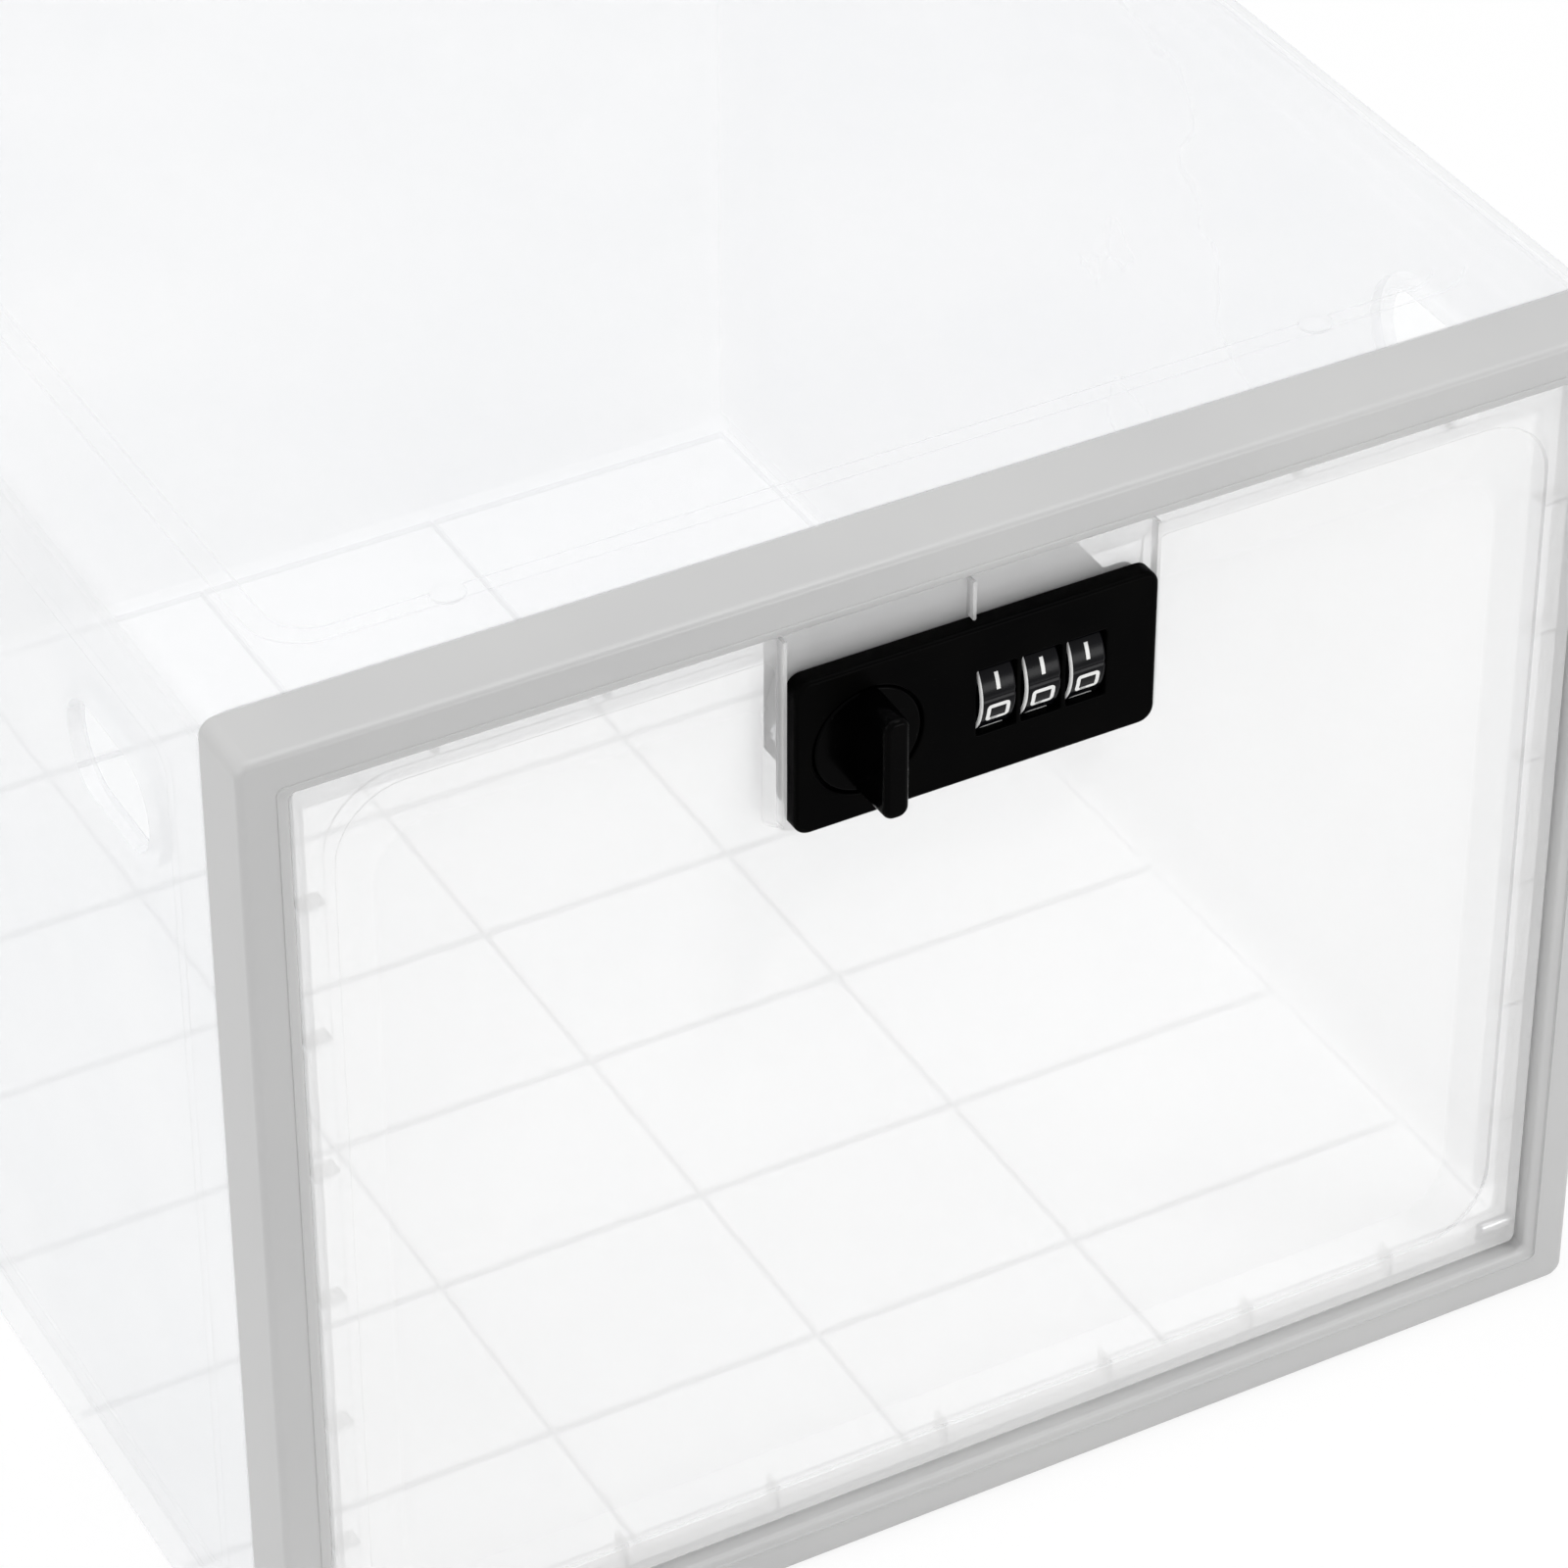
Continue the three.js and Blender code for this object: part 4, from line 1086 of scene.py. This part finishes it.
@dataclass
class Lock:
    """Black combination lock: plate, knob, numbered dials, and the works behind."""

    width: float = 73.0
    height: float = 32.5
    middle_z: float = 191.5
    proud: float = 1.2
    corner_radius: float = 3.0
    edge_round: float = 0.9
    back_round: float = 0.15
    plate_back: float = 3.9
    dial_radius: float = 10.2
    dial_thickness: float = 7.2
    dial_proud: float = 0.8
    dial_places: tuple[float, ...] = (3.7, 12.8, 21.9)
    dial_bore: float = 4.9
    dial_round: float = 0.55
    dial_sides: int = 240
    groove: Point2 = (0.22, 0.07)
    keyway: Point2 = (1.1, 5.4)
    window_wall: float = 2.0
    window_height: float = 14.0
    window_gap: float = 0.4
    window_flare: float = 0.45
    room_half: float = 10.9
    room_x: Span = (-0.9, 26.5)
    knob_x: float = -22.0
    well_radius: float = 11.0
    well_depth: float = 2.2
    shaft_room: float = 7.0
    screw_x: float = 33.7
    screw_hole: float = 1.5
    screw_wall: float = 2.3
    disc_front: float = 0.2
    disc_back: float = 1.9
    disc_gap: float = 0.4
    disc_round: float = 0.5
    blade_size: Point2 = (5.0, 21.0)
    blade_proud: float = 10.3
    blade_round: float = 1.1
    blade_draft: float = 0.03
    shaft_radius: float = 4.0
    lobe_radius: float = 4.0
    lobe_drop: float = 2.2
    lobe_y: Span = (7.9, 10.9)
    case_back: float = 21.4
    cam_back: float = 23.5
    square_half: float = 2.7
    screw_bore: float = 1.5
    screw_bore_front: float = 16.5
    digit_half: Point2 = (1.95, 1.6)
    digit_stroke: float = 0.76
    digit_turn: float = -14.0
    digit_proud: float = 0.05
    digit_round: float = 0.5
    digit_count: int = 10
    digit_step: float = 0.4
    digit_sunk: float = 0.15
    # Painted highlight ring on each dial's left shoulder.
    highlight_ring_proud: float = 0.04
    highlight_ring_sides: int = 160
    strokes: dict[int, tuple[tuple[Point2, ...], ...]] = field(default_factory=lambda: {
        0: (((-1, -1), (1, -1), (1, 1), (-1, 1), (-1, -1), (0, -1)),),
        1: (((0, -1), (0, 1)),),
        2: (((-1, 1), (1, 1), (1, 0), (-1, -0.1), (-1, -1), (1, -1)),),
        3: (((-1, 1), (1, 1), (1, -1), (-1, -1)), ((-0.3, 0), (0.9, 0))),
        4: (((0.5, -1), (0.5, 1), (-1, -0.4), (1, -0.4)),),
        5: (((1, 1), (-1, 1), (-1, 0.1), (1, 0), (1, -1), (-1, -1)),),
        6: (((1, 1), (-1, 1), (-1, -1), (1, -1), (1, 0), (-0.9, 0)),),
        7: (((-1, 1), (1, 1), (-0.2, -1)),),
        8: (((-1, -1), (1, -1), (1, 1), (-1, 1), (-1, -1), (0, -1)), ((-0.9, 0), (0.9, 0))),
        9: (((-1, -1), (1, -1), (1, 1), (-1, 1), (-1, 0), (0.9, 0)),),
    })

    @property
    def dial_axis(self) -> float:
        """Place of the dials' axis along Y."""
        return self.dial_radius - self.dial_proud

    def _plate_outline(self, inset: float) -> Outline:
        """Gives the plate's outline, set in all round."""
        half, rise = self.width / 2 - inset, self.height / 2 - inset
        z = self.middle_z
        return rectangle((-half, half), (z - rise, z + rise), self.corner_radius - inset / 2, 8)

    def _window(self, x: float) -> Solid:
        """Gives the cutter of one dial's window, with softened edges."""
        half = self.dial_thickness / 2 + self.window_gap
        rise, z = self.window_height / 2, self.middle_z

        def outline(grown: float) -> Outline:
            """Gives the window's outline, grown all round."""
            across = (x - half - grown, x + half + grown)
            return rectangle(across, (z - rise - grown, z + rise + grown), 0.5 + grown, 4)

        return Solid.loft(outline, [
            (self.window_flare, -PAST), (self.window_flare, 0.0),
            (0.13, 0.13), (0.0, self.window_flare), (0.0, self.window_wall + PAST),
        ])

    def _plate(self) -> Solid:
        """Gives the face plate."""
        z, behind = self.middle_z, self.plate_back + PAST
        body = Solid.loft(
            self._plate_outline,
            edge_rounds((0.0, self.plate_back), self.edge_round, self.back_round),
        )
        rise = (z - self.room_half, z + self.room_half)
        room = Solid.block(self.room_x, (self.window_wall, behind), rise)
        well = Solid.loft(
            lambda grown: circle(self.well_radius + grown, 96, (self.knob_x, z)),
            [(0.5, -PAST), (0.5, 0.0), (0.15, 0.15), (0.0, 0.5), (0.0, self.well_depth)],
        )
        shaft = Solid.bar_y(self.shaft_room, (1.0, behind), (self.knob_x, z), 48)
        screws = [
            Solid.bar_y(self.screw_hole, (self.screw_wall, behind), (side * self.screw_x, z))
            for side in (-1, 1)
        ]
        windows = [self._window(x) for x in self.dial_places]
        return body.minus(room, *windows, well, shaft, *screws)

    def _knob(self) -> Solid:
        """Gives the knob: disc, blade, shaft with its lobe, and the square for the cam."""
        middle = (self.knob_x, self.middle_z)
        radius = self.well_radius - self.disc_gap
        disc = Solid.loft(
            lambda inset: circle(radius - inset, 96, middle),
            edge_rounds((self.disc_front, self.disc_back), self.disc_round, self.back_round),
        )
        half, rise = self.blade_size[0] / 2, self.blade_size[1] / 2
        x, z = middle
        front = -self.blade_proud
        rounds = edge_rounds((front, self.disc_front + OVERLAP), self.blade_round, 0.0, 6)
        rings = []
        for inset, y in rounds[:-4]:
            reach = half - inset + self.blade_draft * (y - front)
            up = (z - rise + inset, z + rise - inset)
            corner = max(half - 0.4 - inset, 0.4)
            rings.append(along_y(rectangle((x - reach, x + reach), up, corner, 8), y))
        blade = Solid.from_rings(rings)
        square = self.square_half
        return disc.plus(
            blade,
            Solid.bar_y(self.shaft_radius, (self.disc_back - OVERLAP, self.case_back), middle, 48),
            Solid.bar_y(self.lobe_radius, self.lobe_y, (x, z - self.lobe_drop), 48),
            Solid.block((x - square, x + square), (self.case_back - OVERLAP, self.cam_back - 0.3),
                        (z - square, z + square)),
        ).minus(Solid.bar_y(self.screw_bore, (self.screw_bore_front, self.cam_back), middle))

    def _on_dial(self, x: float, up: float, radius: float) -> Point3:
        """Wraps a place on the dial's rim; up is measured along the rim from the front."""
        angle = up / self.dial_radius
        y = self.dial_axis - radius * math.cos(angle)
        return (x, y, self.middle_z + radius * math.sin(angle))

    def _dial(self, x: float) -> Solid:
        """Gives one dial: rounded rim with a shallow groove between its numbers."""
        half, bore, edge = self.dial_thickness / 2, self.dial_bore, self.dial_round
        profile = edge_rounds((x - half, x + half), edge, edge)
        wall = self.dial_radius - bore
        rings = []
        for inset, place in [(wall, x - half), *profile, (wall, x + half)]:
            ring = []
            for k in range(self.dial_sides):
                turn = 2 * math.pi * k / self.dial_sides
                from_digit = turn - math.radians(self.digit_turn)
                phase = (from_digit * self.digit_count / (2 * math.pi) + 0.5) % 1 - 0.5
                groove_depth, groove_width = self.groove
                groove = groove_depth * math.exp(-(((abs(phase) - 0.5) / groove_width) ** 2))
                radius = self.dial_radius - inset
                radius -= groove if inset <= edge else 0.0
                ring.append((place, self.dial_axis - radius * math.cos(turn),
                             self.middle_z + radius * math.sin(turn)))
            rings.append(ring)
        body = Solid.from_rings(rings)
        through = (x - half - PAST, x + half + PAST)
        hole = Solid.bar_x(bore, through, (self.dial_axis, self.middle_z), 64)
        key_half, key_reach = self.keyway
        key = Solid.block(through, (self.dial_axis - key_half, self.dial_axis + key_half),
                          (self.middle_z - key_reach, self.middle_z - 1))
        return body.minus(hole, key)

    def _stroke_path(self, points: Sequence[Point2]) -> list[Point2]:
        """Rounds the corners of a stroke and samples it closely.

        Args:
            points: Corners of the stroke, in halves of a digit.

        Returns:
            Places across and up, in millimetres.
        """
        half, rise = self.digit_half
        corners = [Vector((x * half, z * rise)) for x, z in points]
        path: list[Vector] = [corners[0]]
        for before, here, after in zip(corners, corners[1:], corners[2:]):
            start = here + (before - here).normalized() * self.digit_round
            end = here + (after - here).normalized() * self.digit_round
            path += [
                start * (1 - t) ** 2 + here * 2 * t * (1 - t) + end * t ** 2
                for t in (0.0, 0.25, 0.5, 0.75, 1.0)
            ]
        path.append(corners[-1])
        fine: list[Point2] = []
        for near, far in zip(path, path[1:]):
            count = max(1, round((far - near).length / self.digit_step))
            fine += [tuple(near.lerp(far, k / count)) for k in range(count)]
        fine.append(tuple(path[-1]))
        return fine

    def _stroke(self, points: Sequence[Point2], x: float, turn: float) -> Solid:
        """Gives one raised stroke of a digit on a dial.

        Args:
            points: Corners of the stroke.
            x: Place of the dial.
            turn: Place of the digit along the rim, in millimetres.

        Returns:
            The stroke as a closed strip.
        """
        path = [Vector(point) for point in self._stroke_path(points)]
        low, high = self.dial_radius - self.digit_sunk, self.dial_radius + self.digit_proud
        rings = []
        for index, here in enumerate(path):
            ahead = path[min(index + 1, len(path) - 1)] - path[max(index - 1, 0)]
            side = Vector((-ahead.y, ahead.x)).normalized() * self.digit_stroke / 2
            left, right = here + side, here - side
            rings.append([
                self._on_dial(x + left.x, turn + left.y, low),
                self._on_dial(x + right.x, turn + right.y, low),
                self._on_dial(x + right.x, turn + right.y, high),
                self._on_dial(x + left.x, turn + left.y, high),
            ])
        return Solid.from_rings(rings)

    def _numbers_and_highlight(self, x: float) -> Solid:
        """Gives the white numbers of one dial and the painted highlight, a white line on its left
        edge.
        """
        pitch = 2 * math.pi * self.dial_radius / self.digit_count
        start = math.radians(self.digit_turn) * self.dial_radius
        shape = bmesh.new()
        for digit, strokes in self.strokes.items():
            for points in strokes:
                shape.from_mesh(self._stroke(points, x, start + digit * pitch).mesh)
        # The white ring is a painted highlight on the dial's left shoulder.
        shape.from_mesh(self._painted_highlight_ring(x).mesh)
        mesh = bpy.data.meshes.new("numbers")
        shape.to_mesh(mesh)
        shape.free()
        return Solid(mesh)

    def _painted_highlight_ring(self, x: float) -> Solid:
        """Gives the painted highlight: a thin white ring on the left shoulder of a dial, where its
        glossy edge would catch the light.
        """
        left = x - self.dial_thickness / 2
        edge, around = self.dial_round, 2 * math.pi * self.dial_radius
        reach, floor = edge + self.highlight_ring_proud, self.dial_radius - edge
        section = [
            (left + edge - reach * math.cos(angle), floor + reach * math.sin(angle))
            for angle in (math.radians(2 + 18 * step) for step in range(5))
        ]
        section += [(left + edge, floor), (left + 0.25, floor)]
        return Solid.from_rings([
            [self._on_dial(px, around * k / self.highlight_ring_sides, radius) for px, radius in section]
            for k in range(self.highlight_ring_sides)
        ], looped=True)

    def build(self) -> None:
        """Builds and dresses the plate, the knob and the dials."""
        forward = Matrix.Translation((0, -self.proud, 0))
        plate = self._plate().moved(forward).piece("lock_plate_moulding", BLACK_LOCK)
        dress(plate, "door", "black_lock", "lock_face_plate")
        knob = self._knob().moved(forward).piece("knob_moulding", BLACK_KNOB)
        dress(knob, "knob_body", "black_lock", "knob")
        for index, x in enumerate(self.dial_places, start=1):
            body = f"dial_{index}_body"
            wheel = self._dial(x).moved(forward).piece(f"dial_{index}_wheel", BLACK_DIAL)
            dress(wheel, body, "black_dial", f"dial_{index}")
            # The numbers piece also holds the painted highlight ring.
            numbers = self._numbers_and_highlight(x).moved(forward).piece(f"dial_{index}_numbers_and_highlight", WHITE_INK_AND_HIGHLIGHT)
            dress(numbers, body, "white_plastic")


@dataclass
class LockWorks:
    """CAD nodes whose shape stays: they get softened edges and their own finishes."""

    edge: float = 0.18
    edge_steps: int = 2
    edge_angle: float = 40.0
    finishes: dict[str, Finish] = field(default_factory=lambda: {
        "lock_case": DARK_CASE,
        "lock_screw_left": STEEL,
        "lock_screw_right": STEEL,
        "detent_spring": STEEL,
        "reset_lever": WHITE_PLASTIC,
        "code_sleeve_1": ZINC,
        "code_sleeve_2": ZINC,
        "code_sleeve_3": ZINC,
        "code_spindle": ZINC,
        "spindle_spring": STEEL,
        "latch_cam": STEEL,
        "cam_washer": STEEL,
        "cam_screw": STEEL,
        "hinge_pin_left": STEEL,
        "hinge_pin_right": STEEL,
    })

    def build(self) -> None:
        """Dresses each kept node."""
        for name, finish in self.finishes.items():
            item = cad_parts[name]
            item.data.materials.clear()
            item.data.materials.append(finish.material())
            bevel = item.modifiers.new("soft_edges", "BEVEL")
            bevel.width = self.edge * MM
            bevel.segments = self.edge_steps
            bevel.limit_method = "ANGLE"
            bevel.angle_limit = math.radians(self.edge_angle)
            bevel.harden_normals = False
            LOG.info("%s: kept, finish %s", name, finish.name)


# ---------------------------------------------------------------- studio


@dataclass
class Lamp:
    """Soft rectangular lamp."""

    name: str
    place: Point3
    target: Point3
    size: Point2
    power: float

    def build(self) -> None:
        """Hangs the lamp."""
        light = bpy.data.lights.new(self.name, "AREA")
        light.shape = "RECTANGLE"
        light.size, light.size_y = self.size
        light.energy = self.power
        item = bpy.data.objects.new(self.name, light)
        item.location = self.place
        aim = Vector(self.target) - Vector(self.place)
        item.rotation_euler = aim.to_track_quat("-Z", "Y").to_euler()
        bpy.context.scene.collection.objects.link(item)


@dataclass
class Studio:
    """Camera at the photo's angle, pale floor, and soft light."""

    camera_place: Point3 = (-0.4673, -0.9476, 0.8533)
    camera_forward: Point3 = (0.3864, 0.7007, -0.5998)
    camera_right: Point3 = (0.8757, -0.4829, 0.0)
    lens: float = 147.8
    sensor: float = 36.0
    ambient: float = 0.45
    floor_reach: float = 6.0
    floor_shadow: float = 0.12
    floor_shade: float = 0.96
    floor_drop: float = 0.0005
    lamps: tuple[Lamp, ...] = (
        Lamp("top_lamp", (0.0, 0.1, 1.9), (0.0, 0.0, 0.1), (1.8, 1.6), 18.0),
        Lamp("left_lamp", (-1.6, -0.1, 0.8), (0.0, 0.0, 0.1), (0.8, 1.0), 9.0),
        Lamp("front_lamp", (0.45, -1.05, 0.12), (0.1, -0.17, 0.06), (0.5, 0.3), 3.0),
        Lamp("spot_lamp", (0.77, -0.8, 1.93), (0.0, -0.15, 0.15), (0.3, 0.3), 7.0),
    )

    def _camera(self) -> None:
        """Stands the camera where the photo was taken from."""
        camera = bpy.data.cameras.new("photo_camera")
        camera.sensor_width = self.sensor
        camera.lens = self.lens
        camera.clip_start = 0.01
        item = bpy.data.objects.new("photo_camera", camera)
        forward = Vector(self.camera_forward).normalized()
        right = Vector(self.camera_right).normalized()
        up = right.cross(forward)
        turn = Matrix((right, up, -forward)).transposed()
        item.matrix_world = Matrix.Translation(self.camera_place) @ turn.to_4x4()
        bpy.context.scene.collection.objects.link(item)
        bpy.context.scene.camera = item

    def _world(self) -> None:
        """Surrounds the object with even light, white where the camera sees it."""
        world = bpy.data.worlds.new("studio_air")
        bpy.context.scene.world = world
        world.use_nodes = True
        nodes = Nodes(world.node_tree)
        background = world.node_tree.nodes["Background"]
        background.inputs["Color"].default_value = (1, 1, 1, 1)
        level = nodes.spread(nodes.seen(), (self.ambient, 1.0))
        nodes.feed(background.inputs["Strength"], level)

    def _floor(self) -> None:
        """Lays the pale floor, which keeps the object's shadow."""
        reach = self.floor_reach
        mesh = bpy.data.meshes.new("studio_floor")
        corners = [(-reach, -reach, 0), (reach, -reach, 0), (reach, reach, 0), (-reach, reach, 0)]
        mesh.from_pydata(corners, [], [(0, 1, 2, 3)])
        item = bpy.data.objects.new("studio_floor", mesh)
        bpy.context.scene.collection.objects.link(item)
        item.location.z = -self.floor_drop
        material = bpy.data.materials.new("pale_floor")
        material.use_nodes = True
        material.node_tree.nodes.clear()
        nodes = Nodes(material.node_tree)
        matt = nodes.add("ShaderNodeBsdfDiffuse", Color=(*[self.floor_shade] * 3, 1))
        glow = nodes.add("ShaderNodeEmission", Strength=1.0)
        share = nodes.spread(nodes.seen(), (0.0, 1 - self.floor_shadow))
        blend = nodes.add("ShaderNodeMixShader", Fac=share)
        nodes.feed(blend.inputs[1], matt.outputs["BSDF"])
        nodes.feed(blend.inputs[2], glow.outputs["Emission"])
        output = nodes.add("ShaderNodeOutputMaterial")
        nodes.feed(output.inputs["Surface"], blend.outputs["Shader"])
        mesh.materials.append(material)

    def build(self) -> None:
        """Sets up the camera, the light and the floor."""
        self._camera()
        self._world()
        self._floor()
        for lamp in self.lamps:
            lamp.build()
        bpy.context.scene.view_settings.view_transform = "Standard"
        LOG.info("studio: %d lamps", len(self.lamps))


def main() -> None:
    """Builds the studio and every piece."""
    logging.basicConfig(level=logging.INFO, format="%(name)s %(message)s")
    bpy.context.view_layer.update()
    Studio().build()
    for part in (FrontFrame(), BoxBody(), Door(), Lock(), LockWorks()):
        LOG.info("building %s", type(part).__name__)
        part.build()
    bpy.context.view_layer.update()


if __name__ == "__main__":
    main()
